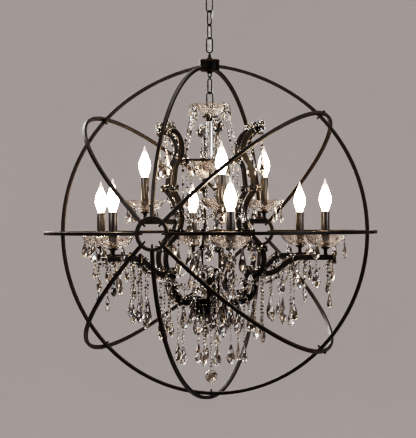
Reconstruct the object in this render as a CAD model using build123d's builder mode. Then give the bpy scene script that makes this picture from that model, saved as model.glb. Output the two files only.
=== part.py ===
from build123d import *
from math import acos, asin, atan2, ceil, cos, degrees, radians, sin, sqrt, tan
import os

# Orb chandelier: a small crystal chandelier on a chain, inside a cage of square iron bars that hangs on a
# chain of its own. Millimetres, +Z up. The origin is on the ceiling, in the middle of the bracket.

os.makedirs("parts", exist_ok=True)

# ---- Clearances ----
running_gap = 0.3  # between pieces that move on each other
seat_gap = 0.1  # between stacked or welded pieces of one body

# ---- Ceiling fixing ----
bracket_length = 108
bracket_width = 20
bracket_thickness = 3
screw_spacing = 88
screw_hole = 5
nipple_diameter = 10
nipple_bore = 6.4
thread_depth = 4  # of a thread in an eye's collar
canopy_diameter = 125
canopy_crown = 60  # flat bottom of the canopy
canopy_height = 40
canopy_wall = 1.5

# ---- Eyes and chain ----
eye_wire = 4.5
eye_radius = 7.5  # centre line of the loop
eye_reach = 19.4  # from the collar's face to the loop's far centre line
collar_size = 16
collar_height = 6
link_length = 49
link_width = 22.5
link_wire = 4
upper_links = 4
lower_links = 2
wire_sides = 6
bend_chords = 6  # straight steps in each half turn of a loop or link
upper_turns = (12, -55, 57, -10)  # turn of each link's plane about the chain
lower_turns = (-53, 14)
canopy_eye_turn = -80
hub_eye_turn = 75
lower_eye_turn = 53
crown_eye_turn = 80

# ---- Supply cord ----
cord_diameter = 4
cord_hole = 6
cord_offset = 13  # of the cord behind the chain, where it passes the hub

# ---- Bent and turned work ----
chord_height = 0.6  # how far the flats of a bent bar stray from the true curve
round_sides = 24  # flats round a large turned piece
turned_sides = 12  # and round a small one

# ---- Orb ----
orb_turn = 19.0  # turn of the cage about Z
bar_width = 10
main_radius = 482.5  # centre line of the inner ring
shoulder_angle = 35  # from the top, where the inner ring straightens towards the hub
shoulder_radius = 610
hub_radius = 30
hub_height = 36
hub_chamfer = 4
ring_entry = 21.5  # below the hub's lid
hub_ring_radius = 44  # centre line of the front and back rings

# ---- Candles ----
sleeve_diameter = 25
sleeve_height = 92
holder_diameter = 21
holder_height = 10
lamp_width = 35
lamp_height = 95
lamp_neck = 20
lamp_tip = 3
cup_top = 28
cup_foot = 14
cup_height = 22
dish_width = 124
dish_foot = 40
dish_height = 35
dish_wall = 3
dish_lobes = 8
lobe_depth = 0.9  # radius between two lobes, as a share of the lobes' own

# ---- Scrolls and arms of the chandelier ----
first_plane = 9  # turn of the first frame from the front
frame_count = 6
upper_candles = 3
frame_depth = 16
frame_thickness = 6
neck_radius = 106.5  # upper scroll's nearest reach to the axis
neck_rise = 31.5  # above the spider
belly_radius = 108  # lower scroll's nearest reach to the axis
belly_drop = 171  # below the spider
tip_bend = (61.5, 90)  # radius and turn of each bend, from the top of a frame down
neck_bend = (55, 40)
waist_bend = (60, -33)
waist_length = 55
shoulder_bend = (110, 47)
hip_bend = (80, 52)
heel_bend = (80, -52)
toe_bend = (60, -65)
foot_bend = (45, -115)
foot_lean = 25
arm_bend = (86.4, 44)
arm_root = 150
arm_rise_start = 170
lower_arm_drop = 120  # of the lower arm's end below the belly
upper_arm_drop = 13
lower_candle_radius = 360
upper_candle_radius = 213
lower_arm_overhang = 24  # of an arm past the middle of its candle
upper_arm_overhang = 11

# ---- Stem, dishes and crystals ----
crown_dish_width = 116
crown_dish_foot = 46
fitting_width = 50
fitting_neck = 26
fitting_height = 18
column_diameter = 19
column_length = 113
spider_hub = 30
spider_bar = 6
bowl_width = 106
bowl_foot = 40
bowl_height = 54
tube_diameter = 27
tube_length = 123
tube_above_foot = 77  # of the bottom tube above the foot scrolls
pan_width = 123
pan_foot = 62
pan_height = 37
finial_width = 14
finial_height = 28
finial_top = 20
finial_turn = 30  # of the finial's loop about Z
hook_cap = 11
string_width = 5
hook_wire = 2
hook_radius = 4
hook_reach = 10
ball_table = 8
ball_diameter = 38
ball_clear = 27.4  # between the faceted ball and the inner ring below it
rod_width = 3
crystal_sides = 4
prism_width = 12
prism_string = 5
prism_length = 46
drop_width = 34
drop_length = 82
drop_string = 62
small_drop_width = 20
small_drop_length = 48
small_drop_string = 14
arm_drop_radius = 312


def keep(piece, name):
    """Labels a finished piece and writes its file."""
    piece.part.label = name
    export_step(piece.part, f"parts/{name}.step")


# ---- Heights, worked out down the chain ----
link_reach = link_length - link_wire  # between a link's two end centre lines
eye_to_link = (eye_wire + link_wire) / 2 + running_gap
link_to_link = link_wire + running_gap
canopy_eye_z = -canopy_height - collar_height - eye_reach


def chain_tops(first_top, count):
    """Centre-line heights of the upper ends of the links in a chain."""
    return [first_top - k * (link_reach - link_to_link) for k in range(count)]


upper_tops = chain_tops(canopy_eye_z + eye_to_link, upper_links)
hub_top = upper_tops[-1] - link_reach + eye_to_link - eye_reach - collar_height
hub_bottom = hub_top - hub_height
lower_eye_z = hub_bottom - collar_height - eye_reach
lower_tops = chain_tops(lower_eye_z + eye_to_link, lower_links)
crown_eye_z = lower_tops[-1] - link_reach + eye_to_link
crown_floor_z = crown_eye_z - eye_reach - collar_height

# The inner ring leaves its circle at the shoulder and runs into the hub on a flatter arc.
shoulder_x = main_radius * sin(radians(shoulder_angle))
shoulder_y = main_radius * cos(radians(shoulder_angle))
shoulder_centre_x = shoulder_x - shoulder_radius * sin(radians(shoulder_angle))
shoulder_centre_y = shoulder_y - shoulder_radius * cos(radians(shoulder_angle))
ring_end_y = shoulder_centre_y + sqrt(shoulder_radius**2 - (hub_radius - shoulder_centre_x) ** 2)
orb_z = hub_top - ring_entry - ring_end_y
outer_radius = main_radius + bar_width + chord_height + running_gap

# The stem and the frames hang from the crown dish's floor.
crown_dish_z = crown_floor_z - dish_wall
fitting_z = crown_dish_z - seat_gap - fitting_height
column_z = fitting_z - seat_gap - column_length
spider_z = column_z - seat_gap - spider_bar
bowl_z = spider_z - seat_gap - bowl_height
neck_z = spider_z + spider_bar / 2 + neck_rise
belly_z = spider_z + spider_bar / 2 - belly_drop
lower_arm_z = belly_z - lower_arm_drop
upper_arm_z = belly_z - upper_arm_drop
lower_arm_end = lower_candle_radius + lower_arm_overhang
upper_arm_end = upper_candle_radius + upper_arm_overhang


# ---- Helpers ----
def radial_plane(turn):
    """Upright plane through the axis: its x runs outwards, turn degrees round from the front."""
    out = Vector(sin(radians(turn)), -cos(radians(turn)), 0)
    return Plane(origin=(0, 0, 0), x_dir=out, z_dir=out.cross(Vector(0, 0, 1)))


def plane_turn(index, count=frame_count):
    """Turn of a frame or candle from the front, in degrees."""
    return first_plane + index * 360 / count


def spot(turn, radius, z):
    """Point at the given turn from the front, radius and height."""
    return (radius * sin(radians(turn)), -radius * cos(radians(turn)), z)


def flat_turn(radius):
    """Degrees of a curve that one flat covers without straying more than chord_height."""
    return 2 * degrees(acos(1 - chord_height / radius))


def bends(start, heading, moves):
    """Points along a bar bent in even steps: each move is a (radius, turn) or, if straight, a (length, 0)."""
    x, y = start
    points = [start]
    for size, turn in moves:
        steps = ceil(abs(turn) / flat_turn(size)) if turn else 1
        step = 2 * size * sin(radians(abs(turn) / steps / 2)) if turn else size
        for _ in range(steps):
            heading += turn / steps / 2
            x += step * cos(radians(heading))
            y += step * sin(radians(heading))
            heading += turn / steps / 2
            points.append((x, y))
    return points


def bar_outline(points, width):
    """Closed outline of a bar of the given width along the points, mitred at each of them."""
    runs = [degrees(atan2(y1 - y0, x1 - x0)) for (x0, y0), (x1, y1) in zip(points, points[1:])]
    left, right = [], []
    for (x, y), before, after in zip(points, runs[:1] + runs, runs + runs[-1:]):
        swing = (after - before + 180) % 360 - 180
        side = radians(before + swing / 2 + 90)
        reach = width / 2 / cos(radians(swing / 2))
        left.append((x + reach * cos(side), y + reach * sin(side)))
        right.append((x - reach * cos(side), y - reach * sin(side)))
    return left + right[::-1]


def wire_loop(reach, radius, wire, plane):
    """A wire on a plane whose y runs up the loop: up one leg, round a half turn, down the other leg."""
    rise = reach - radius
    turn = [180 * k / bend_chords for k in range(bend_chords + 1)]
    arch = [(radius * cos(radians(a)), rise + radius * sin(radians(a))) for a in turn]
    with BuildPart() as loop:
        with BuildLine(plane):
            path = Polyline((radius, 0), *arch, (-radius, 0))
        with BuildSketch(Plane(origin=path @ 0, x_dir=plane.z_dir, z_dir=path % 0)):
            RegularPolygon(wire / 2, wire_sides)
        sweep(path=path, transition=Transition.RIGHT)
    return loop.part


def upright(z, turn, up=1):
    """Upright plane on the axis at height z, turned about Z, with its y up or down."""
    side = Vector(cos(radians(turn)), sin(radians(turn)), 0)
    return Plane(origin=(0, 0, z), x_dir=side, z_dir=side.cross(Vector(0, 0, up)))


def chain_link(top, turn, name):
    """An oval link from two half loops that meet at its waist."""
    waist = top - link_reach / 2
    half = wire_loop(link_reach / 2, (link_width - link_wire) / 2, link_wire, upright(waist, turn))
    with BuildPart() as link:
        add(half)
        mirror(about=Plane.XY.offset(waist))
    keep(link, name)


def eye(face_z, turn, up, name, bore=0, thread=0):
    """A six-sided collar with a wire loop, standing up from face_z or hanging down from it."""
    loop = wire_loop(eye_reach, eye_radius, eye_wire, upright(face_z + up * collar_height, turn, up))
    with BuildPart() as fitting:
        with BuildSketch(Plane.XY.offset(face_z)):
            RegularPolygon(collar_size / 2, 6)
        extrude(amount=up * collar_height)
        add(loop)
        if bore:
            with BuildSketch(Plane.XY.offset(face_z)):
                RegularPolygon(bore / 2, 6)
            extrude(amount=up * collar_height, mode=Mode.SUBTRACT)
        if thread:
            with BuildSketch(Plane.XY.offset(face_z)):
                RegularPolygon(thread / 2, turned_sides)
            extrude(amount=up * thread_depth, mode=Mode.SUBTRACT)
    keep(fitting, name)


def star(width, lobes):
    """Corners of a lobed rim of the given width, with a tip towards +X."""
    radii = (width / 2, width / 2 * lobe_depth)
    turn = 180 / lobes
    return [
        (radii[k % 2] * cos(radians(k * turn)), radii[k % 2] * sin(radians(k * turn)))
        for k in range(2 * lobes)
    ]


def faceted(sections):
    """A closed solid with flat facets from each polygon to the next, and one across each end."""
    sides = [Face(Wire.make_polygon(sections[0])), Face(Wire.make_polygon(sections[-1]))]
    for near, far in zip(sections, sections[1:]):
        for k in range(len(near)):
            sides.append(Face(Wire.make_polygon([near[k - 1], near[k], far[k], far[k - 1]])))
    return Solid(Shell(sides))


def turned_piece(profile, sides):
    """A piece turned about Z, with flat sides, from the (height, width) steps of its profile."""
    turns = [radians(360 * k / sides) for k in range(sides)]
    return faceted([[(w / 2 * cos(a), w / 2 * sin(a), z) for a in turns] for z, w in profile])


def pressed_dish(foot, width, height):
    """A lobed dish, hollow from above: up the outside, over the rim and down the inside."""
    shoulder = foot + (width - foot) * 0.62
    outside = ((0, foot), (0.32, shoulder), (1, width))
    steps = [(height * share, size) for share, size in outside]
    steps += [(dish_wall + (height - dish_wall) * share, size - 2 * dish_wall) for share, size in outside[::-1]]
    return faceted([[(x, y, z) for x, y in star(size, dish_lobes)] for z, size in steps])


def crystal(string, width, length):
    """A cut drop under a short string, hanging from its own origin."""
    steps = [(0, rod_width), (-string, rod_width)] if string else [(0, rod_width)]
    steps += [(-string - 0.64 * length, width), (-string - length, width / 5)]
    return turned_piece(steps, crystal_sides)


def group(piece, places, name):
    """Copies of one piece at several places, kept together as one node of separate solids."""
    with BuildPart() as pieces:
        with Locations(*places):
            add(piece)
    keep(pieces, name)


# ---- Ceiling fixing ----
with BuildPart() as ceiling_bracket:
    with BuildSketch():
        Rectangle(bracket_length, bracket_width)
        RegularPolygon(nipple_diameter / 2 + seat_gap, turned_sides, mode=Mode.SUBTRACT)
        with GridLocations(screw_spacing, 0, 2, 1):
            Circle(screw_hole / 2, mode=Mode.SUBTRACT)
    extrude(amount=-bracket_thickness)
keep(ceiling_bracket, "ceiling_bracket")

with BuildPart() as nipple:
    with BuildSketch():
        RegularPolygon(nipple_diameter / 2, turned_sides)
        RegularPolygon(nipple_bore / 2, turned_sides, mode=Mode.SUBTRACT)
    extrude(amount=-(canopy_height + thread_depth - seat_gap))
keep(nipple, "nipple")

canopy_shell = [
    (-canopy_height + seat_gap, canopy_crown),
    (-canopy_height / 2, (canopy_crown + canopy_diameter) * 0.56),
    (-seat_gap, canopy_diameter),
    (-seat_gap, canopy_diameter - 2 * canopy_wall),
    (-canopy_height / 2, (canopy_crown + canopy_diameter) * 0.56 - 2 * canopy_wall),
    (-canopy_height + seat_gap + canopy_wall, canopy_crown - canopy_wall),
]
with BuildPart() as canopy:
    add(turned_piece(canopy_shell, round_sides))
    with BuildSketch(Plane.XY.offset(-canopy_height)):
        RegularPolygon(nipple_diameter / 2 + seat_gap, turned_sides)
    extrude(amount=2 * canopy_wall, mode=Mode.SUBTRACT)
keep(canopy, "canopy")

# ---- Chains ----
eye(-canopy_height, canopy_eye_turn, -1, "canopy_eye", bore=cord_hole, thread=nipple_diameter + 2 * seat_gap)
for index, (top, turn) in enumerate(zip(upper_tops, upper_turns), 1):
    chain_link(top, turn, f"upper_link_{index}")
eye(hub_top, hub_eye_turn, 1, "hub_top_eye")
eye(hub_bottom, lower_eye_turn, -1, "hub_bottom_eye")
for index, (top, turn) in enumerate(zip(lower_tops, lower_turns), 1):
    chain_link(top, turn, f"lower_link_{index}")
eye(crown_floor_z, crown_eye_turn, 1, "crown_eye", bore=cord_hole)

# ---- Orb ----
hub_profile = [
    (hub_bottom + seat_gap, 2 * (hub_radius - hub_chamfer)),
    (hub_bottom + seat_gap + hub_chamfer, 2 * hub_radius),
    (hub_top - seat_gap, 2 * hub_radius),
]
with BuildPart() as top_hub:
    add(turned_piece(hub_profile, round_sides))
    with BuildSketch(Plane.XY.offset(hub_bottom)):
        with Locations((0, cord_offset)):
            RegularPolygon(cord_hole / 2, turned_sides)
    extrude(amount=hub_height, mode=Mode.SUBTRACT)
keep(top_hub, "top_hub")

orb_centre = Vector(0, 0, orb_z)
hub_line = Vector(-sin(radians(orb_turn)), -cos(radians(orb_turn)), 0)  # through the front and back rings
ring_line = Vector(cos(radians(orb_turn)), -sin(radians(orb_turn)), 0)  # level line in the inner ring


with BuildPart() as hub_space:  # cuts the bars back to the side of the hub
    with BuildSketch(Plane.XY.offset(hub_bottom - bar_width)):
        RegularPolygon(hub_radius + seat_gap, round_sides)
    extrude(amount=hub_height + 2 * bar_width)

low = 90 - shoulder_angle
high = degrees(acos((hub_radius - bar_width / 2 - shoulder_centre_x) / shoulder_radius))
ring_start = (
    shoulder_centre_x + shoulder_radius * cos(radians(high)),
    shoulder_centre_y + shoulder_radius * sin(radians(high)),
)
shoulder = (shoulder_radius, low - high)
ring_path = bends(ring_start, high - 90, [shoulder, (main_radius, -180 - 2 * low), shoulder])
with BuildPart() as main_ring:
    with BuildSketch(Plane(origin=orb_centre, x_dir=ring_line, z_dir=hub_line)):
        Polygon(*bar_outline(ring_path, bar_width), align=None)
    extrude(amount=bar_width / 2, both=True)
    add(hub_space.part, mode=Mode.SUBTRACT)
keep(main_ring, "main_ring")

ring_reach = hub_ring_radius + bar_width / 2 + chord_height + seat_gap
ring_clear = degrees(asin(ring_reach / (outer_radius - bar_width / 2)))
hub_clear = degrees(acos((hub_radius - bar_width / 2) / outer_radius))
whole = (ring_clear, 180 - ring_clear)
# Each bar: the tilt of its ring about the hub line, and where it starts and ends round that ring.
outer_bars = {
    "bar_front_top": (0, ring_clear, hub_clear),
    "bar_back_top": (0, 180 - hub_clear, 180 - ring_clear),
    "bar_bottom": (180, *whole),
    "bar_right": (90, *whole),
    "bar_left": (-90, *whole),
    "bar_upper_right": (45, *whole),
    "bar_upper_left": (-45, *whole),
    "bar_lower_right": (135, *whole),
    "bar_lower_left": (-135, *whole),
}
for name, (tilt, start, end) in outer_bars.items():
    rise = Vector(0, 0, 1) * cos(radians(tilt)) + ring_line * sin(radians(tilt))
    with BuildPart() as outer_bar:
        with BuildSketch(Plane(origin=orb_centre, x_dir=hub_line, z_dir=hub_line.cross(rise))):
            first = (outer_radius * cos(radians(start)), outer_radius * sin(radians(start)))
            bar_path = bends(first, start + 90, [(outer_radius, end - start)])
            Polygon(*bar_outline(bar_path, bar_width), align=None)
        extrude(amount=bar_width / 2, both=True)
        add(hub_space.part, mode=Mode.SUBTRACT)
    keep(outer_bar, name)

with BuildPart() as hub_rings:
    for side in (1, -1):
        centre = orb_centre + hub_line * side * sqrt(outer_radius**2 - (hub_ring_radius + bar_width / 2) ** 2)
        with BuildSketch(Plane(origin=centre, x_dir=ring_line, z_dir=hub_line)):
            RegularPolygon(hub_ring_radius + bar_width / 2, round_sides)
            RegularPolygon(hub_ring_radius - bar_width / 2, round_sides, mode=Mode.SUBTRACT)
        extrude(amount=bar_width / 2, both=True)
keep(hub_rings, "hub_rings")

# ---- Stem ----
with BuildPart() as crown_dish:
    add(pressed_dish(crown_dish_foot, crown_dish_width, dish_height).moved(Location((0, 0, crown_dish_z))))
    with BuildSketch(Plane.XY.offset(crown_dish_z)):
        RegularPolygon(cord_hole / 2, turned_sides)
    extrude(amount=dish_wall, mode=Mode.SUBTRACT)
keep(crown_dish, "crown_dish")

fitting_profile = [
    (fitting_z, column_diameter),
    (fitting_z + fitting_height * 0.45, fitting_neck),
    (fitting_z + fitting_height * 0.6, fitting_width),
    (fitting_z + fitting_height, fitting_width),
]
with BuildPart() as crown_fitting:
    add(turned_piece(fitting_profile, turned_sides))
    with BuildSketch(Plane.XY.offset(fitting_z)):
        RegularPolygon(cord_hole / 2, turned_sides)
    extrude(amount=fitting_height, mode=Mode.SUBTRACT)
keep(crown_fitting, "crown_fitting")

with BuildPart() as column:
    with BuildSketch(Plane.XY.offset(column_z)):
        RegularPolygon(column_diameter / 2, turned_sides)
        RegularPolygon(cord_hole / 2, turned_sides, mode=Mode.SUBTRACT)
    extrude(amount=column_length)
keep(column, "column")

# ---- Frames: three bent bars each, and the spider that carries them ----
tip_start = (neck_radius + tip_bend[0], neck_z + tip_bend[0])
upper_path = bends(tip_start, 180, [tip_bend, neck_bend, waist_bend, (waist_length, 0)])
shoulder_size, shoulder_turn = shoulder_bend
lower_start = (
    belly_radius + shoulder_size * (1 - cos(radians(shoulder_turn))),
    belly_z + shoulder_size * sin(radians(shoulder_turn)),
)
lower_path = bends(lower_start, 270 - shoulder_turn, [shoulder_bend, hip_bend, heel_bend, toe_bend])
toe_x, toe_y = lower_path[-1]
foot_path = bends((toe_x, toe_y - frame_depth / 2), 270 + foot_lean, [foot_bend])
foot_z = foot_path[-1][1]
foot_path.append((tube_diameter / 2 + seat_gap, foot_z))


def flat_bar(turn, path, thickness=frame_thickness, spare=0):
    """A flat bar on edge in the radial plane at the given turn, or the space it takes with some to spare."""
    with BuildPart(mode=Mode.PRIVATE) as strip:
        with BuildSketch(radial_plane(turn)):
            Polygon(*bar_outline(path, frame_depth + 2 * spare), align=None)
        extrude(amount=thickness / 2 + spare, both=True)
    return strip.part


for index in range(frame_count):
    turn = plane_turn(index)
    lower_space = flat_bar(turn, lower_path, spare=seat_gap)
    with BuildPart() as scroll_frame:
        add(flat_bar(turn, upper_path) - lower_space)
        add(flat_bar(turn, foot_path) - lower_space)
        add(flat_bar(turn, lower_path))
    keep(scroll_frame, f"scroll_frame_{index + 1}")

with BuildPart() as spider:
    with BuildSketch(Plane.XY.offset(spider_z)):
        RegularPolygon(spider_hub / 2, turned_sides)
        with PolarLocations(neck_radius / 2, frame_count, first_plane - 90):
            Rectangle(neck_radius, spider_bar)
    extrude(amount=spider_bar)
    for index in range(frame_count):
        add(flat_bar(plane_turn(index), upper_path, spare=seat_gap), mode=Mode.SUBTRACT)
keep(spider, "spider")

with BuildPart() as centre_bowl:
    add(pressed_dish(bowl_foot, bowl_width, bowl_height).moved(Location((0, 0, bowl_z))))
keep(centre_bowl, "centre_bowl")

tube_z = foot_z + tube_above_foot - tube_length
with BuildPart() as bottom_tube:
    with BuildSketch(Plane.XY.offset(tube_z)):
        RegularPolygon(tube_diameter / 2, turned_sides, rotation=first_plane)
    extrude(amount=tube_length)
keep(bottom_tube, "bottom_tube")

# ---- Arms ----
arm_radius, arm_turn = arm_bend
arm_rise = 2 * arm_radius * (1 - cos(radians(arm_turn)))
lower_arm_path = [
    (arm_root, lower_arm_z - arm_rise),
    *bends((arm_rise_start, lower_arm_z - arm_rise), 0, [arm_bend, (arm_radius, -arm_turn)]),
    (lower_arm_end, lower_arm_z),
]
upper_arm_path = [(belly_radius, upper_arm_z), (upper_arm_end, upper_arm_z)]
for name, path, count in (
    ("lower_arms", lower_arm_path, frame_count),
    ("upper_arms", upper_arm_path, upper_candles),
):
    with BuildPart() as arms:
        for index in range(count):
            turn = plane_turn(index, count)
            add(flat_bar(turn, path) - flat_bar(turn, lower_path, spare=seat_gap))
    keep(arms, name)

# ---- Candles, stacked on the arms ----
cup = turned_piece([(0, cup_foot), (cup_height, cup_top)], turned_sides)
candle_dish = pressed_dish(dish_foot, dish_width, dish_height)
holder = turned_piece([(0, holder_diameter), (holder_height, holder_diameter)], turned_sides)
sleeve = turned_piece([(0, sleeve_diameter), (sleeve_height, sleeve_diameter)], turned_sides)
lamp_profile = [(0, lamp_neck), (0.25, lamp_width), (0.62, 0.66 * lamp_width), (1, lamp_tip)]
lamp = turned_piece([(share * lamp_height, width) for share, width in lamp_profile], turned_sides)
candle_stack = (
    ("candle_cups", cup, cup_height),
    ("candle_dishes", candle_dish, dish_wall),
    ("lampholders", holder, holder_height),
    ("candle_sleeves", sleeve, sleeve_height),
    ("candle_lamps", lamp, lamp_height),
)
tiers = (
    ("lower", frame_count, lower_candle_radius, lower_arm_z),
    ("upper", upper_candles, upper_candle_radius, upper_arm_z),
)
for tier, count, radius, arm_z in tiers:
    z = arm_z + frame_depth / 2 + seat_gap
    turns = [360 * k / count for k in range(count)]
    for name, piece, height in candle_stack:
        places = [Location(spot(first_plane + turn, radius, z), (0, 0, turn)) for turn in turns]
        group(piece, places, f"{tier}_{name}")
        z += height + seat_gap

# ---- Bottom dish, finial and ball ----
pan_z = tube_z - seat_gap - dish_wall
with BuildPart() as bottom_dish:
    add(pressed_dish(pan_foot, pan_width, pan_height).moved(Location((0, 0, pan_z))))
keep(bottom_dish, "bottom_dish")

finial_z = pan_z - seat_gap - finial_height
finial_profile = [
    (finial_z, hook_cap),
    (finial_z + finial_height * 0.15, hook_cap),
    (finial_z + finial_height * 0.45, finial_width),
    (finial_z + finial_height, finial_top),
]
with BuildPart() as finial:
    add(turned_piece(finial_profile, 2 * crystal_sides))
    add(wire_loop(hook_reach, hook_radius, hook_wire, upright(finial_z, finial_turn, -1)))
keep(finial, "finial")

hook_z = finial_z - hook_reach  # centre line of the finial's loop, where the ball's loop bears
cap_z = hook_z + hook_wire + running_gap - hook_reach
ball_z = orb_z - main_radius + bar_width / 2 + ball_clear + ball_diameter / 2
string_end = ball_z + ball_diameter / 2
string_profile = [
    (string_end + seat_gap, string_width),
    (cap_z - 2 * hook_wire, string_width),
    (cap_z - hook_wire, hook_cap),
    (cap_z, hook_cap),
]
with BuildPart() as ball_string:
    add(turned_piece(string_profile, crystal_sides))
    add(wire_loop(hook_reach, hook_radius, hook_wire, upright(cap_z, finial_turn + 90)))
keep(ball_string, "ball_string")

ball_cuts = (-90, -45, 0, 45, 90)
ball_profile = [
    (ball_z + ball_diameter / 2 * sin(radians(cut)), max(ball_table, ball_diameter * cos(radians(cut))))
    for cut in ball_cuts
]
with BuildPart() as faceted_ball:
    add(turned_piece(ball_profile, crystal_sides * 2))
keep(faceted_ball, "faceted_ball")

# ---- Crystals, each on a wire over the rim or arm that carries it ----
rim_reach = rod_width / 2 + seat_gap
tips = [k * 360 / dish_lobes for k in range(dish_lobes)]


def rim_places(width, z, every=1):
    """Places just outside the lobes of a dish's rim."""
    radius = width / 2 + rim_reach
    return [Location((radius * cos(radians(a)), radius * sin(radians(a)), z)) for a in tips[::every]]


prism = crystal(prism_string, prism_width, prism_length)
group(prism, rim_places(crown_dish_width, crown_dish_z + dish_height), "crown_prisms")
group(prism, rim_places(bowl_width, bowl_z + bowl_height), "bowl_prisms")

tip_top = tip_start[1] - frame_depth / 2 - chord_height - seat_gap
scroll_drop_places = [
    Location(spot(plane_turn(k), tip_start[0] - rod_width, tip_top)) for k in range(frame_count)
]
group(crystal(drop_string, drop_width, drop_length), scroll_drop_places, "scroll_drops")

arm_bottom = lower_arm_z - frame_depth / 2 - seat_gap
arm_drop_places = [
    Location(spot(plane_turn(k), radius, arm_bottom))
    for k in range(frame_count)
    for radius in (arm_drop_radius, lower_arm_end - rod_width)
]
group(crystal(small_drop_string, small_drop_width, small_drop_length), arm_drop_places, "arm_drops")
group(
    crystal(small_drop_string, small_drop_width, small_drop_length),
    rim_places(pan_width, pan_z + pan_height, every=2),
    "bottom_drops",
)

# ---- Supply cord: down the nipple, beside the chain, through the hub and into the stem ----
cord_route = [
    (0, 0, -5),
    (0, 0, -53),
    (9, 9, -68),
    (9, 9, -118),
    (0, 13, -150),
    (1.5, 13.5, -195),
    (0, 13, -240),
    (0, 13, -312),
    (9, 11, -340),
    (10, 11, -370),
    (8, 7, -388),
    (0, 0, -401),
    (0, 0, -438),
]


def cord_radii(points):
    """Radius of the arc at each corner: 0.45 of its shorter run, over the tangent of half the turn."""
    runs = [Vector(*far) - Vector(*near) for near, far in zip(points, points[1:])]
    return [
        0.45 * min(into.length, out.length) / tan(radians(into.get_angle(out) / 2))
        for into, out in zip(runs, runs[1:])
    ]


radii = cord_radii(cord_route)
with BuildPart() as supply_cord:
    with BuildLine():
        cord_line = FilletPolyline(*cord_route, radius=radii)
    with BuildSketch(Plane(origin=cord_line @ 0, z_dir=cord_line % 0)):
        cord_section = RegularPolygon(cord_diameter / 2, wire_sides)
    sweep(path=cord_line)
keep(supply_cord, "supply_cord")
print("cord radii", [round(radius, 1) for radius in radii])
print("cord length", round(cord_line.length, 1))
print("cord volume over section times length", supply_cord.part.volume / cord_section.area / cord_line.length)
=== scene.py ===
# %% [markdown]
# # An orb chandelier, dressed around its frame
# The object is a small crystal chandelier that hangs inside a cage of square iron bars.
# Its frame, with true sizes and joints, is already built; this notebook gives it its looks.
# The frame is loaded first, because every piece below takes its place from it.

# %% Load the frame
from math import acos, asin, cos, degrees, pi, radians, sin, sqrt
from typing import NamedTuple

import bpy
import numpy as np
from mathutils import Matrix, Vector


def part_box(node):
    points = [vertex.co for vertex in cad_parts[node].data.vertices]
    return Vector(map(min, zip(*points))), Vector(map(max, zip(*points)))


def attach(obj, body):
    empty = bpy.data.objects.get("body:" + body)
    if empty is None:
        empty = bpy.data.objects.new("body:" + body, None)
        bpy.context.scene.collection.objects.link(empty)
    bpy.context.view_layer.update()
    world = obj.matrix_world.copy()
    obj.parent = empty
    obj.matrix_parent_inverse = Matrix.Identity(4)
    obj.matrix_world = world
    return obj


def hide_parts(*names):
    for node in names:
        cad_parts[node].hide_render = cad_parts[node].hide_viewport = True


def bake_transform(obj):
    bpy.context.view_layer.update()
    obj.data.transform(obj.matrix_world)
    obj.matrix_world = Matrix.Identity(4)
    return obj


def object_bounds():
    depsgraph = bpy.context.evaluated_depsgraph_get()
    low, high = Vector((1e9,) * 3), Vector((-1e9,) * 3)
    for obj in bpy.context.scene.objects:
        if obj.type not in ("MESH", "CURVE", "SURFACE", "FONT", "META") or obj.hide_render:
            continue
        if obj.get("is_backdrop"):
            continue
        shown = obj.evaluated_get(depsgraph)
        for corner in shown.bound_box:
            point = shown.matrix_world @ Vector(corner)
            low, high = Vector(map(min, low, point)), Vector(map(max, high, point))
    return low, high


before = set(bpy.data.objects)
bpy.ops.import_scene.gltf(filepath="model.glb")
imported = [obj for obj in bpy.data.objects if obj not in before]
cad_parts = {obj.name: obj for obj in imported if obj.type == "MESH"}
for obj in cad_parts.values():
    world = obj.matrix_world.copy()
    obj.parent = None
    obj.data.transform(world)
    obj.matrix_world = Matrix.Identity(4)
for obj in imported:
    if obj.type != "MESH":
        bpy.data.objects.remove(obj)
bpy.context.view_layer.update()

# %% [markdown]
# ## Working in millimetres
# Blender's unit here is the metre, but a chandelier maker's drawing is in millimetres.
# All sizes below are millimetres, and one factor turns them into metres when a mesh is made.
# `box_of` reads where a piece of the frame lies, so heights need not be typed again.

# %% Units and places
MM = 0.001


def box_of(node):
    """Lowest and highest corner of a piece of the frame, in millimetres."""
    low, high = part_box(node)
    return np.array(low) / MM, np.array(high) / MM


def foot_of(node):
    """Height of a piece's lowest point."""
    return float(box_of(node)[0][2])


def top_of(node):
    """Height of a piece's highest point."""
    return float(box_of(node)[1][2])


Z_AXIS = np.array((0.0, 0.0, 1.0))
orb_z = (foot_of("bar_right") + top_of("bar_right")) / 2
orb_turn = 19.0  # turn of the cage about Z
first_plane = 9  # turn of the first scroll frame from the front
frame_count = 6
print("middle of the orb", round(orb_z, 2))

# %% [markdown]
# ## Meshes from whole arrays
# Nearly every piece here is a grid of points: one direction runs along the piece, the other round it.
# It could be modelled by hand with extrusions, but a formula keeps the curve exact and can be changed later.
# A grid becomes a mesh by joining neighbouring points into quads, and `weld` closes seams and poles.
# The signed volume of a closed skin tells which way its faces look, so each skin is turned outwards.
# Every point also carries a mark from 0 to 1, which a material reads: wear on iron, glow on a lamp.

# %% Skins and shells
class Skin(NamedTuple):
    """A surface as it comes from a grid: points, faces of four corners, and a mark on each point."""
    points: np.ndarray
    quads: np.ndarray
    marks: np.ndarray


class Shell(NamedTuple):
    """A closed surface with its equal points merged: points, quads, triangles and marks."""
    points: np.ndarray
    quads: np.ndarray
    triangles: np.ndarray
    marks: np.ndarray


weld_size = 0.0002  # points nearer than this, in millimetres, become one


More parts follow.
